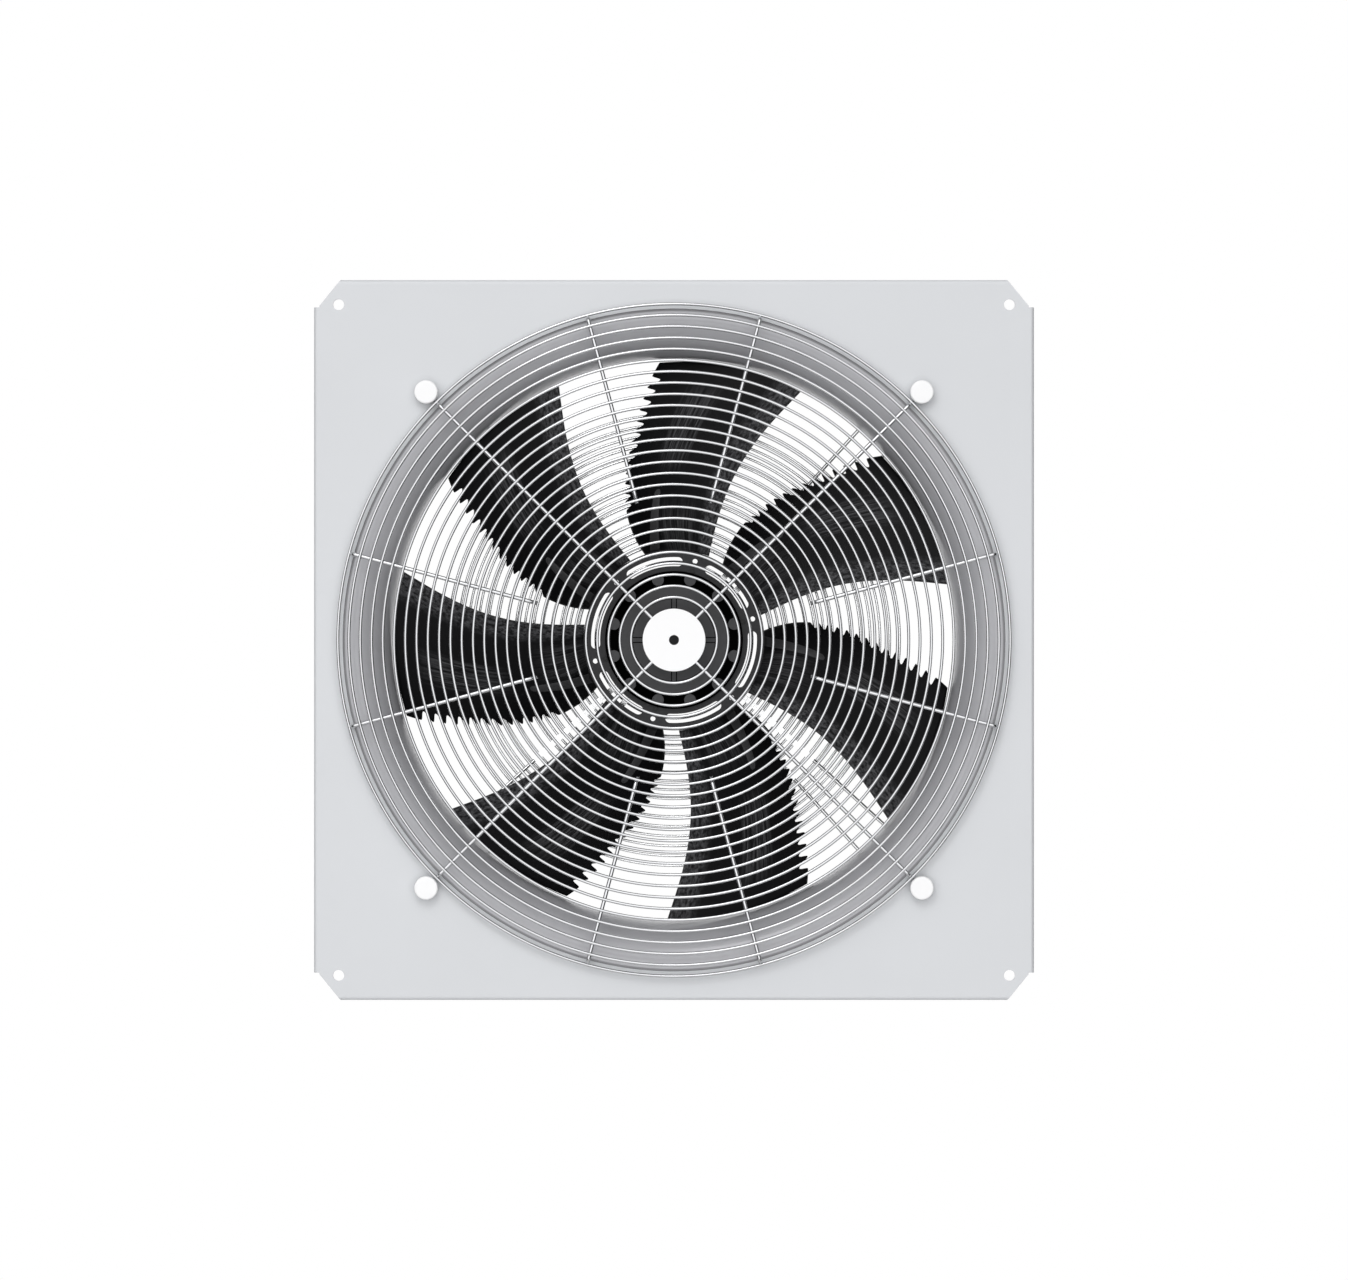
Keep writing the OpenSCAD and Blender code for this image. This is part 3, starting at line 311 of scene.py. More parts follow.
class Nodes:
    """A short way to write the nodes of a material or a world."""

    def __init__(self, owner):
        owner.use_nodes = True
        self.owner = owner
        self.tree = owner.node_tree
        self.shader = self.tree.nodes.get("Principled BSDF")

    def node(self, kind, **values):
        n = self.tree.nodes.new(kind)
        for key, value in values.items():
            setattr(n, key, value)
        return n

    def link(self, a, b):
        self.tree.links.new(a, b)

    def place(self, scale=(1, 1, 1), source=None):
        mapping = self.node("ShaderNodeMapping")
        mapping.inputs["Scale"].default_value = scale
        self.link(source or self.node("ShaderNodeTexCoord").outputs["Object"], mapping.inputs["Vector"])
        return mapping.outputs["Vector"]

    def axis_part(self, vector, axis):
        parts = self.node("ShaderNodeSeparateXYZ")
        self.link(vector, parts.inputs["Vector"])
        return parts.outputs[axis]

    def depth(self):
        """How far a place lies behind the plate's back face."""
        return self.axis_part(self.node("ShaderNodeTexCoord").outputs["Object"], "Y")

    def radius(self):
        """A place's distance from the fan's axis."""
        flat = self.node("ShaderNodeVectorMath", operation="MULTIPLY")
        flat.inputs[1].default_value = (1, 0, 1)
        self.link(self.node("ShaderNodeTexCoord").outputs["Object"], flat.inputs[0])
        length = self.node("ShaderNodeVectorMath", operation="LENGTH")
        self.link(flat.outputs["Vector"], length.inputs[0])
        return length.outputs["Value"]

    def slope(self, value, start, end, low=0.0, high=1.0):
        n = self.node("ShaderNodeMapRange")
        n.inputs["From Min"].default_value = start
        n.inputs["From Max"].default_value = end
        n.inputs["To Min"].default_value = low
        n.inputs["To Max"].default_value = high
        self.link(value, n.inputs["Value"])
        return n.outputs["Result"]

    def product(self, *values):
        out = values[0]
        for value in values[1:]:
            n = self.node("ShaderNodeMath", operation="MULTIPLY")
            self.link(out, n.inputs[0])
            self.link(value, n.inputs[1])
            out = n.outputs["Value"]
        return out

    def window(self, value, start, full, fade, end):
        """1 between full and fade, 0 before start and after end."""
        return self.product(self.slope(value, start, full), self.slope(value, fade, end, 1.0, 0.0))

    def blend(self, factor, a, b):
        n = self.node("ShaderNodeMix", data_type="RGBA")
        for socket, value in ((n.inputs[6], a), (n.inputs[7], b)):
            if isinstance(value, tuple):
                socket.default_value = (*value, 1)
            else:
                self.link(value, socket)
        self.link(factor, n.inputs[0])
        return n.outputs[2]

    def noise(self, scale, detail=4.0, roughness=0.6, stretch=(1, 1, 1), source=None):
        n = self.node("ShaderNodeTexNoise")
        n.inputs["Scale"].default_value = scale
        n.inputs["Detail"].default_value = detail
        n.inputs["Roughness"].default_value = roughness
        self.link(self.place(stretch, source), n.inputs["Vector"])
        return n.outputs["Fac"]

    def spread(self, value, low, high):
        """A value from 0 to 1 turned into one from low to high."""
        return self.slope(value, 0.3, 0.7, low, high)

    def colours(self, value, stops):
        n = self.node("ShaderNodeValToRGB")
        ramp = n.color_ramp
        while len(ramp.elements) < len(stops):
            ramp.elements.new(0.5)
        for element, (place, colour) in zip(ramp.elements, stops):
            element.position = place
            element.color = (*colour, 1)
        self.link(value, n.inputs["Fac"])
        return n.outputs["Color"]

    def bump(self, height, distance, edge=0.0):
        n = self.node("ShaderNodeBump")
        n.inputs["Distance"].default_value = distance
        self.link(height, n.inputs["Height"])
        if edge:
            bevel = self.node("ShaderNodeBevel", samples=4)
            bevel.inputs["Radius"].default_value = edge
            self.link(bevel.outputs["Normal"], n.inputs["Normal"])
        self.link(n.outputs["Normal"], self.shader.inputs["Normal"])


def shade(colour, factor):
    return tuple(c * factor for c in colour)


def surface(name, colour, metallic, rough, grain, depth, variation=0.06, edge=0.0005,
            stretch=(1, 1, 1), specular=0.5, painted_shade_from=None, seam_shadow=None):
    """A material with slow colour variation, uneven roughness and a fine relief. Further back than
    painted_shade_from it is painted near black with no reflection: painted shade in a recess. A seam is a
    painted shadow: a thin dark line between two radii."""
    m = Nodes(bpy.data.materials.new(name))
    slow = m.noise(6.0, 3.0, 0.5, stretch)
    fine = m.noise(grain, 5.0, 0.6, stretch)
    stops = [(0.3, shade(colour, 1 - variation)), (0.7, shade(colour, 1 + variation))]
    tone = m.colours(slow, stops)
    m.shader.inputs["Specular IOR Level"].default_value = specular
    # Painted shade: deeper than painted_shade_from the colour goes near black and the reflection fades
    # out, standing for the shade in a recess.
    if painted_shade_from is not None:
        painted_shade_specular = m.slope(m.depth(), painted_shade_from - PAINTED_SHADE_STEP, painted_shade_from, specular, 0.0)
        m.link(painted_shade_specular, m.shader.inputs["Specular IOR Level"])
        tone = m.blend(m.slope(m.depth(), painted_shade_from - PAINTED_SHADE_STEP, painted_shade_from), tone, (0.002, 0.002, 0.002))
    # Painted shadow: a thin dark line between the radii of seam, where the plate's edge shades the nozzle.
    if seam_shadow is not None:
        line = m.window(m.radius(), seam_shadow[0] - SEAM_SHADOW_FADE_IN, seam_shadow[0], seam_shadow[1], seam_shadow[1] + SEAM_SHADOW_FADE_OUT)
        tone = m.blend(line, tone, shade(colour, 0.5))
    m.link(tone, m.shader.inputs["Base Color"])
    m.link(m.spread(fine, rough[0], rough[1]), m.shader.inputs["Roughness"])
    m.shader.inputs["Metallic"].default_value = metallic
    m.bump(fine, depth, edge)
    return m.owner


def blade_plastic():
    """Black plastic. Its map runs from 0 at the leading edge to 1 at the trailing one, and from root to
    tip: a painted mottled sheen behind the leading edge, and painted streaks of reflection along the span
    at mid chord and near the root. The rib lies at -1 and is painted lighter: a painted highlight."""
    m = Nodes(bpy.data.materials.new("black_moulding"))
    spot = m.node("ShaderNodeUVMap", uv_map=BLADE_MAP).outputs["UV"]
    along = m.axis_part(spot, "X")
    span = m.axis_part(spot, "Y")
    sheen_mottle = m.slope(m.noise(1.0, 4.0, 0.75, (40, 30, 1), spot), 0.42, 0.62)
    reflection_streaks = m.slope(m.noise(1.0, 3.0, 0.6, (60, 4, 1), spot), 0.42, 0.62)
    # Painted sheen: a mottled lighter strip behind the leading edge, and painted reflection streaks at mid
    # chord and near the root.
    edge = m.product(m.window(along, -0.2, 0.0, 0.12, 0.2), sheen_mottle)
    span_sheen = m.product(m.window(along, 0.44, 0.5, 0.64, 0.74), m.window(span, 0.4, 0.55, 0.75, 0.9), reflection_streaks)
    root = m.product(m.window(along, 0.2, 0.3, 0.6, 0.7), m.slope(span, 0.3, 0.15), reflection_streaks)
    tone = (0.0045, 0.0045, 0.0052)
    for amount, lit in ((edge, 0.09), (span_sheen, 0.08), (root, 0.06)):
        tone = m.blend(amount, tone, (lit, lit, lit * 1.05))
    # The rib is painted lighter than the blade: a painted highlight on the same black plastic.
    tone = m.blend(m.slope(along, -0.4, -0.6), tone, (0.055, 0.055, 0.057))
    m.link(tone, m.shader.inputs["Base Color"])
    fine = m.noise(1100.0, 5.0, 0.6)
    m.link(m.spread(fine, 0.36, 0.48), m.shader.inputs["Roughness"])
    m.shader.inputs["Specular IOR Level"].default_value = 0.12
    m.bump(fine, 0.00002)
    return m.owner


PAINT = surface("powder_coat", (0.67, 0.684, 0.702), 0.0, (0.34, 0.46), 900.0, 0.00002, 0.012)
# Its thin dark ring where the plate's edge meets it is a painted shadow.
NOZZLE = surface("galvanised_sheet", (0.475, 0.475, 0.495), 0.12, (0.18, 0.24), 500.0, 0.000003, 0.03,
                 seam_shadow=(0.3316, 0.334))
WIRE = surface("bright_zinc_wire", (0.62, 0.625, 0.635), 1.0, (0.08, 0.13), 700.0, 0.000005, 0.03, 0.0)
BASKET = surface("galvanised_wire", (0.9, 0.905, 0.91), 1.0, (0.1, 0.16), 500.0, 0.00001, 0.04, 0.0)
WHITE = surface("white_plastic", (0.95, 0.95, 0.95), 0.0, (0.3, 0.4), 700.0, 0.00001, 0.01, 0.0004)
HUB = surface("black_hub_moulding", (0.03, 0.03, 0.032), 0.0, (0.45, 0.6), 1000.0, 0.00003, 0.12,
              0.0006, specular=0.3)
# The recess behind the rotor's front face is painted near black: painted shade.
ROTOR = surface("black_cast_paint", (0.062, 0.062, 0.065), 0.0, (0.4, 0.55), 800.0, 0.00004, 0.12,
                0.0004, specular=0.3, painted_shade_from=0.0138)
BLADE = blade_plastic()
ZINC = surface("bright_zinc_fastener", (0.72, 0.73, 0.75), 1.0, (0.22, 0.36), 600.0, 0.00001, 0.05)
DARK_ZINC = surface("black_fastener", (0.02, 0.02, 0.02), 0.6, (0.3, 0.45), 600.0, 0.00001, 0.1)
ALU = surface("cast_aluminium", (0.6, 0.61, 0.62), 0.9, (0.38, 0.55), 420.0, 0.00005, 0.06)
STEEL = surface("ground_steel", (0.6, 0.61, 0.63), 1.0, (0.14, 0.26), 700.0, 0.00001, 0.04)
CORE = surface("stacked_sheets", (0.3, 0.31, 0.33), 0.9, (0.4, 0.55), 60.0, 0.00008, 0.1,
               stretch=(0.2, 40, 0.2))
COPPER = surface("enamelled_copper", (0.62, 0.24, 0.1), 0.9, (0.25, 0.4), 80.0, 0.0002, 0.12,
                 stretch=(20, 0.6, 20))
MAGNET = surface("magnet", (0.06, 0.06, 0.065), 0.3, (0.4, 0.6), 500.0, 0.00003, 0.1)
BRASS = surface("brass_cage", (0.68, 0.5, 0.2), 1.0, (0.25, 0.4), 600.0, 0.00001, 0.05)
RUBBER = surface("black_rubber", (0.02, 0.02, 0.02), 0.0, (0.6, 0.8), 800.0, 0.00004, 0.1)
BOARD = surface("solder_resist", (0.015, 0.09, 0.04), 0.0, (0.25, 0.4), 300.0, 0.00002, 0.1)
TERMINAL = surface("terminal_moulding", (0.05, 0.2, 0.1), 0.0, (0.4, 0.5), 900.0, 0.00002, 0.05)
SLEEVE = surface("capacitor_sleeve", (0.03, 0.03, 0.09), 0.0, (0.2, 0.35), 700.0, 0.00001, 0.1)
GLAND = surface("gland_moulding", (0.03, 0.03, 0.033), 0.0, (0.4, 0.55), 900.0, 0.00003, 0.1)

CAD_FINISH = (
    (PAINT, "wall_plate"),
    (NOZZLE, "inlet_nozzle"),
    (WIRE, "guard_inner_rings guard_middle_rings guard_outer_rings guard_long_spokes guard_short_spokes"),
    (WHITE, "guard_centre_disc bolt_caps"),
    (ZINC, "support_bolts front_washers rear_washers support_nuts shaft_circlip preload_washer"),
    (ZINC, "bracket_screws cover_screws"),
    (HUB, "impeller_hub"),
    (DARK_ZINC, "impeller_screws"),
    (BLADE, " ".join(f"blade_{k}" for k in range(1, BLADE_COUNT + 1))),
    (ROTOR, "rotor_bell"),
    (MAGNET, "rotor_magnets"),
    (STEEL, "rotor_shaft bearing_inner_rings bearing_outer_rings bearing_balls"),
    (BRASS, "bearing_cages"),
    (ALU, "bearing_cover stator_flange electronics_case case_cover"),
    (CORE, "stator_core"),
    (COPPER, "stator_windings"),
    (BASKET, "motor_bracket basket_rods basket_inner_rings basket_outer_rings basket_feet"),
    (RUBBER, "cover_gasket gland_seal"),
    (BOARD, "circuit_board"),
    (TERMINAL, "terminal_block"),
    (SLEEVE, "capacitors"),
    (GLAND, "gland_body gland_nut"),
)
NODE_FINISH = {node: material for material, nodes in CAD_FINISH for node in nodes.split()}
for name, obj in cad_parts.items():
    obj.data.materials.clear()
    obj.data.materials.append(NODE_FINISH[name])


def finish_piece(obj, material, body, slot, *nodes):
    """Gives a piece its material, its body and the CAD nodes that it stands for. The slot is not used."""
    obj.data.materials.append(material)
    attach(obj, body)
    if nodes:
        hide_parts(*nodes)
    return obj


# Front guard

random.seed(7)


def build_guard_rings(name, first, last, rim=False):
    shape = Shape()
    for k in range(first, last):
        shape.ring(RING_FIRST_R + k * RING_PITCH, RING_D / 2, GUARD_FRONT)
    if rim:
        shape.ring(RIM_RING_R, RING_D / 2, RIM_RING_FRONT)
    finish_piece(shape.build(f"guard_{name}_wires"), WIRE, "frame", "guard_wire", f"guard_{name}_rings")


def spoke_points(corners, angle):
    path = subdivide(rounded_path(corners, SPOKE_BEND), WIRE_STEP)
    return [polar(p.x, angle, p.y) for p in path]


def add_welds(shape, first, angle):
    """The beads between a spoke, the rings in front of it and the rim ring round its leg."""
    for k in range(first, FACE_RINGS):
        place = polar(RING_FIRST_R + k * RING_PITCH, angle, GUARD_FRONT - RING_D / 2)
        shape.bead(place, RING_WELD, GUARD_WELD_ROUGH)
    shape.bead(polar(LEG_R + SPOKE_D / 2, angle, RIM_RING_FRONT), LEG_WELD, GUARD_WELD_ROUGH)


def build_long_spokes():
    shape = Shape()
    corners = [(LONG_SPOKE_START, SPOKE_FRONT), (LEG_R, SPOKE_FRONT),
               (LEG_R, EYE_FRONT), (SUPPORT_R - EYE_R, EYE_FRONT)]
    for angle in DIAGONALS:
        shape.tube(spoke_points(corners, angle), SPOKE_D / 2 * MM)
        eye = polar(SUPPORT_R, angle, EYE_FRONT)
        loop = [eye + at(EYE_R * math.cos(a), EYE_R * math.sin(a), 0)
                for a in (2 * math.pi * i / 48 for i in range(48))]
        shape.tube(loop, SPOKE_D / 2 * MM, closed=True)
        add_welds(shape, 0, angle)
    finish_piece(shape.build("guard_long_spoke_wires"), WIRE, "frame", "guard_wire", "guard_long_spokes")


def build_short_spokes():
    shape = Shape()
    start = RING_FIRST_R + SHORT_SPOKE_RING * RING_PITCH - RING_D
    corners = [(start, SPOKE_FRONT), (LEG_R, SPOKE_FRONT), (LEG_R, SHORT_LEG_FRONT)]
    for angle in SHORT_SPOKE_ANGLES:
        shape.tube(spoke_points(corners, angle), SPOKE_D / 2 * MM)
        add_welds(shape, SHORT_SPOKE_RING, angle)
    finish_piece(shape.build("guard_short_spoke_wires"), WIRE, "frame", "guard_wire", "guard_short_spokes")


build_guard_rings("inner", 0, SHORT_SPOKE_RING)
build_guard_rings("middle", SHORT_SPOKE_RING, OUTER_RING)
build_guard_rings("outer", OUTER_RING, FACE_RINGS, rim=True)
build_long_spokes()
build_short_spokes()


# Motor basket behind the blades


def rod_point(along, front, diagonal, side):
    """A place on one of the two rods of a diagonal, which spread a little towards the rim."""
    lean = math.radians(side * ROD_SPLAY)
    x = along * math.cos(lean)
    y = side * ROD_OFFSET + along * math.sin(lean)
    return at(*rotated(x, y, math.radians(diagonal)), front)


def build_basket_rods():
    shape = Shape()
    path = subdivide(rounded_path(ROD_PATH, ROD_BEND), WIRE_STEP)
    for diagonal in DIAGONALS:
        for side in (-1, 1):
            points = [rod_point(p.x, p.y, diagonal, side) for p in path]
            shape.tube(points, ROD_D / 2 * MM, sides=14)
    finish_piece(shape.build("basket_rod_wires"), BASKET, "frame", "basket_wire", "basket_rods")


def basket_ring_front(r):
    """Height of a basket ring, which lies just behind the rods at its radius."""
    rod_front = ROD_PATH[0][1]
    drop = ROD_D / 2 + BASKET_D / 2 + WELD_GAP
    if r < ARM_END_R:
        return rod_front - drop
    slope = (ROD_PATH[2][1] - rod_front) / (ROD_PATH[2][0] - ARM_END_R)
    return rod_front + (r - ARM_END_R) * slope - drop / math.cos(math.atan(slope))


def build_basket_rings(name, radii):
    shape = Shape()
    for r in radii:
        front = basket_ring_front(r)
        shape.ring(r, BASKET_D / 2, front)
        for diagonal in DIAGONALS:
            for side in (-1, 1):
                lean = math.radians(side * ROD_SPLAY)
                angle = diagonal + math.degrees(lean + math.asin(side * ROD_OFFSET * math.cos(lean) / r))
                place = polar(r, angle, front + BASKET_D / 2)
                shape.bead(place, BASKET_WELD, BASKET_WELD_ROUGH)
    wires = shape.build(f"basket_{name}_wires")
    finish_piece(wires, BASKET, "frame", "basket_wire", f"basket_{name}_rings")


build_basket_rods()
build_basket_rings("inner", INNER_BASKET_RINGS)
build_basket_rings("outer", SLOPE_BASKET_RINGS)


# Plastic caps over the support bolts


def build_caps():
    outer, hollow, seat, height, rim, edge, roof = 11.8, 7.7, 7.7, 7.0, 1.6, 0.4, 1.5
    top = seat + height
    wall = [(outer - edge, seat), (outer, seat + edge)]
    shoulder = arc((outer - rim, top - rim), rim, 0, 90, 8)
    crown = [(outer * share, top) for share in (0.6, 0.3)]
    inside = [(0.0, top), (0.0, top - roof), (hollow, top - roof), (hollow, seat)]
    section = wall + shoulder + crown + inside
    shape = Shape()
    offset = SUPPORT_R / math.sqrt(2)
    for x in (-offset, offset):
        for y in (-offset, offset):
            shape.lathe(section, 96, (x, y))
    finish_piece(shape.build("bolt_cap_mouldings"), WHITE, "frame", "white_plastic", "bolt_caps")


build_caps()


# Inlet nozzle: one pressed sheet, turned from its section


def build_nozzle():
    bell, sheet, flange, depth = 45.0, 1.5, 12.0, 95.0
    throat = MOUTH_R - bell
    centre = (MOUTH_R, -bell)
    section = [(MOUTH_R + flange, 0.0)]
    section += arc(centre, bell, 90, 180, 40)
    section += [(throat, -bell - (depth - bell - 1) * k / 10) for k in range(1, 11)]
    section += [(throat + sheet / 2, -depth), (throat + sheet, -depth + 1)]
    section += [(throat + sheet, -depth + 1 + (depth - bell - 1) * k / 10) for k in range(1, 10)]
    section += arc(centre, bell - sheet, 180, 90, 40)
    section += [(MOUTH_R + flange, -sheet)]
    shape = Shape()
    shape.lathe(section, 360)
    finish_piece(shape.build("nozzle_sheet"), NOZZLE, "frame", "nozzle_zinc", "inlet_nozzle")


build_nozzle()


# Blades


def bezier(c, t):
    while len(c) > 1:
        c = [a * (1 - t) + b * t for a, b in zip(c, c[1:])]
    return c[0]


def share(r):
    return (r - ROOT_R) / (TIP_R - ROOT_R)


def leading_angle(r):
    return bezier(LEADING, share(r))


def trailing_angle(r):
    return bezier(TRAILING, share(r))


def tooth_r(steps):
    """Radius of a place along the row of teeth, counted in teeth, which widen towards the tip."""
    part = steps / TOOTH_COUNT
    return TOOTH_FIRST_R + (TOOTH_END_R - TOOTH_FIRST_R) * part * (1 - TOOTH_GROWTH + TOOTH_GROWTH * part)


def tooth_steps(r):
    """The reverse of tooth_r."""
    linear = 1 - TOOTH_GROWTH
    reach = (r - TOOTH_FIRST_R) / (TOOTH_END_R - TOOTH_FIRST_R)
    root = math.sqrt(linear ** 2 + 4 * TOOTH_GROWTH * max(0.0, reach))
    return TOOTH_COUNT * (root - linear) / (2 * TOOTH_GROWTH)


def tooth_cut(r):
    """How far the trailing edge is cut back at a radius, in degrees: a rounded notch before each tooth."""
    if r <= TOOTH_FIRST_R:
        near = max(0.0, 1 - (TOOTH_FIRST_R - r) / FIRST_FLANK)
    elif r >= TOOTH_END_R:
        near = max(0.0, 1 - (r - TOOTH_END_R) / LAST_FLANK)
    else:
        phase = tooth_steps(r) % 1
        near = 1 - phase / TOOTH_PEAK if phase < TOOTH_PEAK else (phase - TOOTH_PEAK) / (1 - TOOTH_PEAK)
    return TOOTH_ANGLE * (0.5 - 0.5 * math.cos(math.pi * near))


def middle_front(r, w):
    """Height of a blade's middle surface at a radius and a share w of the chord."""
    depth = DEPTH_ROOT + (DEPTH_TIP - DEPTH_ROOT) * share(r)
    return BLADE_FRONT - depth * ((1 - CAMBER) * w + CAMBER * w * w)


def blade_thickness(r, w):
    full = THICK_ROOT + (THICK_TIP - THICK_ROOT) * share(r)
    fillet = ROOT_FILLET * math.exp(-(r - ROOT_R) / FILLET_REACH)
    w = min(1.0, max(0.0, w))
    swell = (full - EDGE_T) * math.sin(math.pi * w ** 0.8) ** 0.8
    return EDGE_T + fillet * min(1.0, 8 * w, 8 * (1 - w)) + swell


def blade_point(r, angle, side):
    """The (radius, angle, front) of a place on a blade's front (side 1) or back (side -1)."""
    lead = leading_angle(r)
    chord = math.radians(trailing_angle(r) - lead) * r
    w = (angle - lead) / (trailing_angle(r) - lead)
    step = 0.01
    slope = (middle_front(r, w + step) - middle_front(r, w)) / (step * chord)
    length = math.hypot(slope, 1.0)
    off = side * blade_thickness(r, w) / 2
    turned = angle - math.degrees(slope / length * off / r)
    return r, turned, middle_front(r, w) + off / length


def blade_radii():
    plain_end = TOOTH_FIRST_R - FIRST_FLANK
    radii = [ROOT_R + (plain_end - ROOT_R) * (k / 14) ** 1.4 for k in range(14)]
    radii += [plain_end + FIRST_FLANK * k / 6 for k in range(6)]
    phases = (0.0, 0.08, 0.16, 0.24, 0.32, 0.4, TOOTH_PEAK, 0.52, 0.6, 0.68, 0.76, 0.84, 0.92)
    radii += [tooth_r(k + p) for k in range(TOOTH_COUNT) for p in phases]
    radii += [TOOTH_END_R + LAST_FLANK * k / 6 for k in range(6)]
    tip_start = TOOTH_END_R + LAST_FLANK
    radii += [tip_start + (TIP_R - tip_start) * k / 5 for k in range(6)]
    return radii


def chord_shares(count=30):
    """Shares of the chord, closer together at both edges."""
    return [0.5 - 0.5 * math.cos(math.pi * k / (count - 1)) for k in range(count)]


def rib_angle(t):
    return RIB_ANGLE - RIB_LEAN * t - RIB_CURVE * t * t


def add_rib(base):
    """The low tapered rib on a blade's front, from the root outwards."""
    steps, across = 24, 10
    verts = []
    for i in range(steps + 1):
        t = i / steps
        r = RIB_START + RIB_LENGTH * t
        half = (RIB_WIDTH - RIB_TAPER * t) / 2
        height = RIB_HEIGHT * (1 - t ** 4)
        for j in range(across + 1):
            turn = math.pi * j / across
            p = blade_point(r, rib_angle(t) + math.degrees(half * math.cos(turn) / r), 1)
            front = p[2] - RIB_SINK + (height + RIB_SINK) * math.sin(turn)
            verts.append(polar(p[0], base + p[1], front))
    count = across + 1
    faces = [list(range(count)), [steps * count + j for j in reversed(range(count))]]
    for i in range(steps):
        for j in range(count):
            n = (j + 1) % count
            faces.append([i * count + j, (i + 1) * count + j, (i + 1) * count + n, i * count + n])
    shape = Shape()
    shape.add(verts, faces)
    return shape


# Puts every corner of the rib at -1 on the blade's map, where the material paints it lighter: a painted
# highlight.
def map_rib(obj):
    layer = obj.data.uv_layers.new(name=BLADE_MAP)
    for corner in layer.data:
        corner.uv = (-1.0, 0.0)


def map_blade(obj, base):
    """Each corner's share of the chord and of the span."""
    mesh = obj.data
    layer = mesh.uv_layers.new(name=BLADE_MAP)
    for loop in mesh.loops:
        co = mesh.vertices[loop.vertex_index].co
        r = math.hypot(co.x, co.z) / MM
        angle = (math.degrees(math.atan2(co.z, co.x)) - base) % 360
        lead = leading_angle(r)
        w = (angle - lead + 180) % 360 - 180
        layer.data[loop.index].uv = (w / (trailing_angle(r) - lead), share(r))


def build_blade(k):
    base = FIRST_BLADE + 360 / BLADE_COUNT * (k - 1)
    least = 0.02
    shares = chord_shares()
    rows = []
    for r in blade_radii():
        lead = leading_angle(r)
        valley = trailing_angle(r) - TOOTH_ANGLE
        edge = trailing_angle(r) - tooth_cut(r)
        angles = [lead + s * (valley - lead) for s in shares[:-1]]
        if edge - valley > least:
            angles += [valley + (edge - valley) * s for s in (0.5, 1.0)]
        else:
            angles += [edge, edge + least]
        row = [blade_point(r, a, 1) for a in angles] + [blade_point(r, a, -1) for a in reversed(angles)]
        rows.append([polar(p[0], base + p[1], p[2]) for p in row])
    cols = len(rows[0])
    verts = [v for row in rows for v in row]
    faces = []
    for i in range(len(rows) - 1):
        for j in range(cols):
            n = (j + 1) % cols
            faces.append([i * cols + j, i * cols + n, (i + 1) * cols + n, (i + 1) * cols + j])
    for i in (0, len(rows) - 1):
        for j in range(cols // 2 - 1):
            a = i * cols + j
            b = i * cols + cols - 1 - j
            faces.append([a, a + 1, b - 1, b])
    shape = Shape()
    shape.add(verts, faces)
    obj = shape.build(f"blade_{k}_moulding")
    map_blade(obj, base)
    finish_piece(obj, BLADE, "rotor", "impeller_plastic", f"blade_{k}")
    rib = add_rib(base).build(f"blade_{k}_rib")
    map_rib(rib)
    finish_piece(rib, BLADE, "rotor", "impeller_plastic")


for k in range(1, BLADE_COUNT + 1):
    build_blade(k)


# Stage, light and camera


def build_stage():
    """The floor, which keeps the shadow and is nearly white to the camera."""
    verts = [(-FLOOR_X, FLOOR_FRONT, FLOOR_Z), (FLOOR_X, FLOOR_FRONT, FLOOR_Z),
             (FLOOR_X, FLOOR_BACK, FLOOR_Z), (-FLOOR_X, FLOOR_BACK, FLOOR_Z)]
    floor = add_object("floor", [Vector(v) for v in verts], [[0, 1, 2, 3]], smooth=False)
    m = Nodes(surface("pale_floor", (0.86, 0.86, 0.86), 0.0, (0.6, 0.7), 40.0, 0.0001, 0.01, 0.0))
    seen = m.node("ShaderNodeLightPath").outputs["Is Camera Ray"]
    blend = m.node("ShaderNodeMixShader")
    m.link(m.slope(seen, 0.0, 1.0, 0.0, FLOOR_WHITE), blend.inputs["Fac"])
    m.link(m.shader.outputs["BSDF"], blend.inputs[1])
    m.link(m.node("ShaderNodeEmission").outputs["Emission"], blend.inputs[2])
    m.link(blend.outputs["Shader"], m.tree.nodes["Material Output"].inputs["Surface"])
    floor.data.materials.append(m.owner)


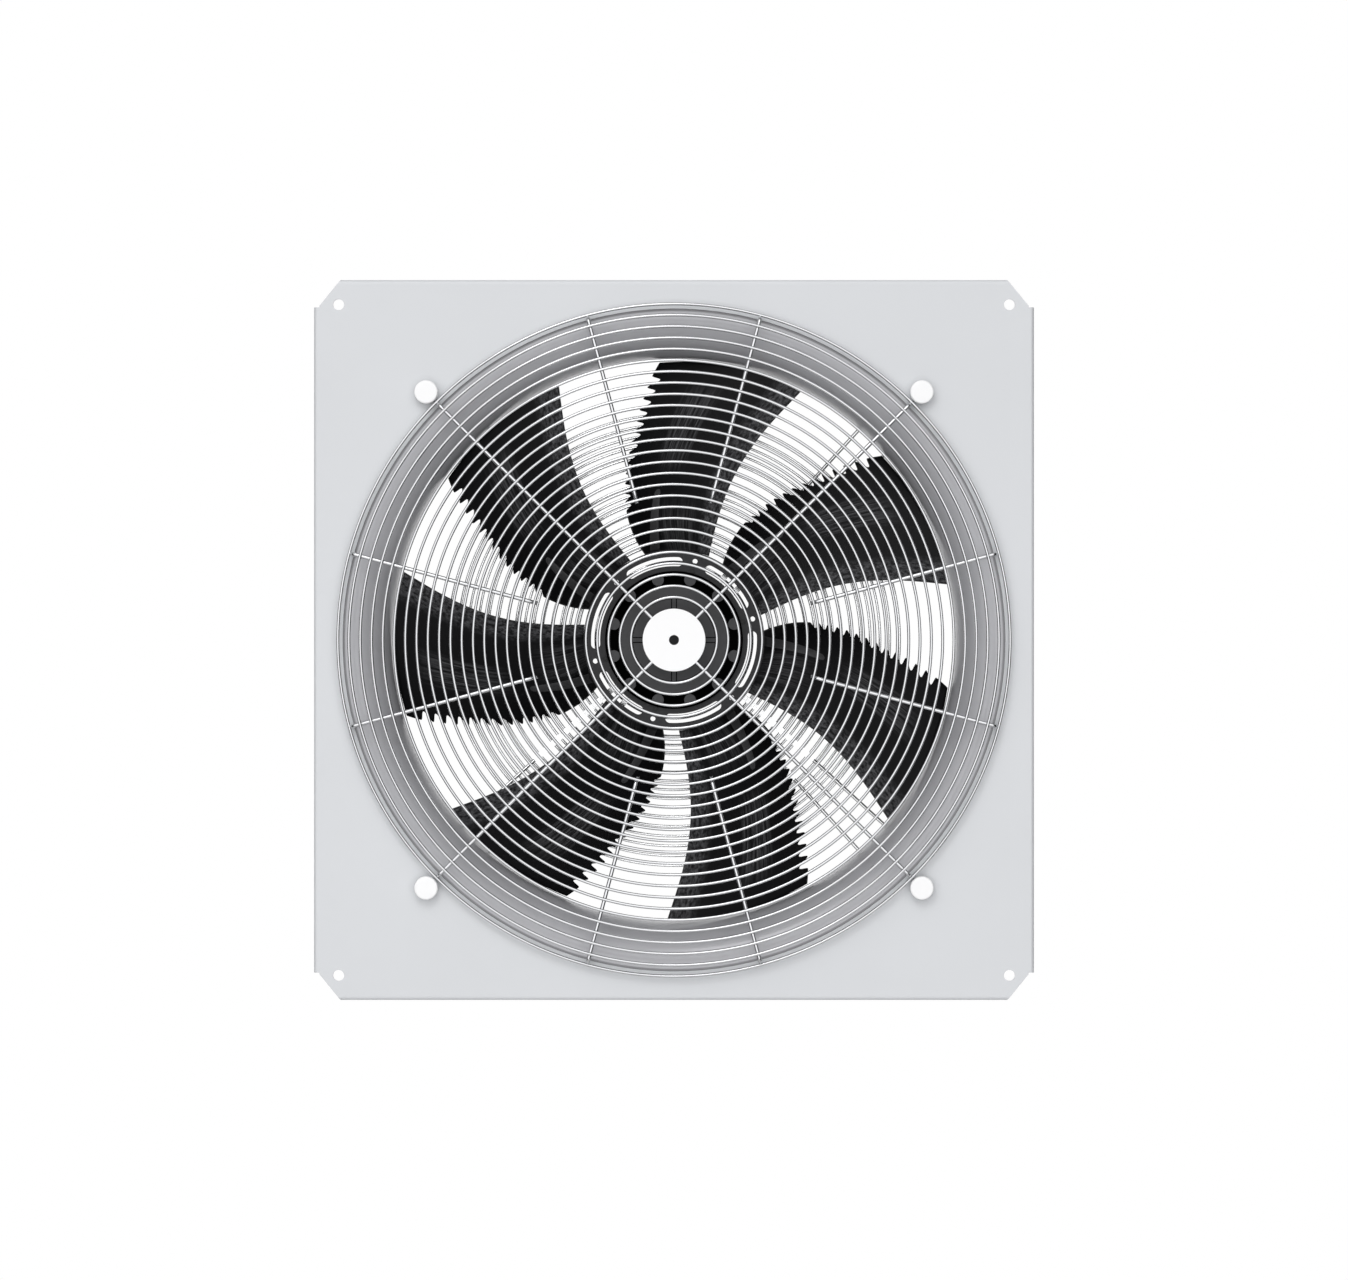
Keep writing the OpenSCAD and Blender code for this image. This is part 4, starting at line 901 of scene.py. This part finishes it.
def lobe(m, direction, low, high):
    """How much of a soft patch of the surroundings, about a direction, lies in the way of a ray."""
    dot = m.node("ShaderNodeVectorMath", operation="DOT_PRODUCT")
    dot.inputs[1].default_value = Vector(direction).normalized()
    m.link(m.node("ShaderNodeTexCoord").outputs["Generated"], dot.inputs[0])
    ramp = m.node("ShaderNodeMapRange", interpolation_type="SMOOTHSTEP")
    ramp.inputs["From Min"].default_value = low
    ramp.inputs["From Max"].default_value = high
    m.link(dot.outputs["Value"], ramp.inputs["Value"])
    return ramp.outputs["Result"]


def build_world():
    """A pale studio: darker below and at the sides, bright before the guard, white behind."""
    world = bpy.data.worlds.new("studio")
    bpy.context.scene.world = world
    m = Nodes(world)
    m.tree.nodes.clear()
    background = m.node("ShaderNodeBackground")
    light = m.blend(lobe(m, (-0.3, 0, 0.95), 0.1, 0.9), DARK_SIDE, LIGHT_SIDE)
    light = m.blend(lobe(m, (-0.1, -1, 0.26), 0.45, 0.9), light, FRONT_LIGHT)
    light = m.blend(lobe(m, (0, 1, 0), 0.55, 0.8), light, WHITE_LIGHT)
    light = m.blend(m.node("ShaderNodeLightPath").outputs["Is Camera Ray"], light, WHITE_LIGHT)
    m.link(light, background.inputs["Color"])
    m.link(background.outputs["Background"], m.node("ShaderNodeOutputWorld").inputs["Surface"])


def add_area(name, place, aim, size, power):
    data = bpy.data.lights.new(name, "AREA")
    data.shape = "DISK"
    data.size = size
    data.energy = power
    obj = bpy.data.objects.new(name, data)
    obj.location = place
    obj.rotation_euler = (Vector(aim) - Vector(place)).to_track_quat("-Z", "Y").to_euler()
    bpy.context.scene.collection.objects.link(obj)


def build_camera():
    data = bpy.data.cameras.new("camera")
    data.sensor_fit = "HORIZONTAL"
    data.sensor_width = SENSOR_W
    focal_pixels = PIXELS_PER_MM * CAMERA_DISTANCE / MM
    data.lens = focal_pixels * SENSOR_W / IMAGE_W
    data.clip_end = 50.0
    camera = bpy.data.objects.new("camera", data)
    camera.location = (0.0, -CAMERA_DISTANCE - PLATE_FRONT, 0.0)
    camera.rotation_euler = (math.radians(90), 0.0, 0.0)
    bpy.context.scene.collection.objects.link(camera)
    bpy.context.scene.camera = camera


build_stage()
build_world()
add_area("key", KEY_PLACE, (0, 0, 0), KEY_SIZE, KEY_POWER)
build_camera()
bpy.context.scene.view_settings.view_transform = "Standard"
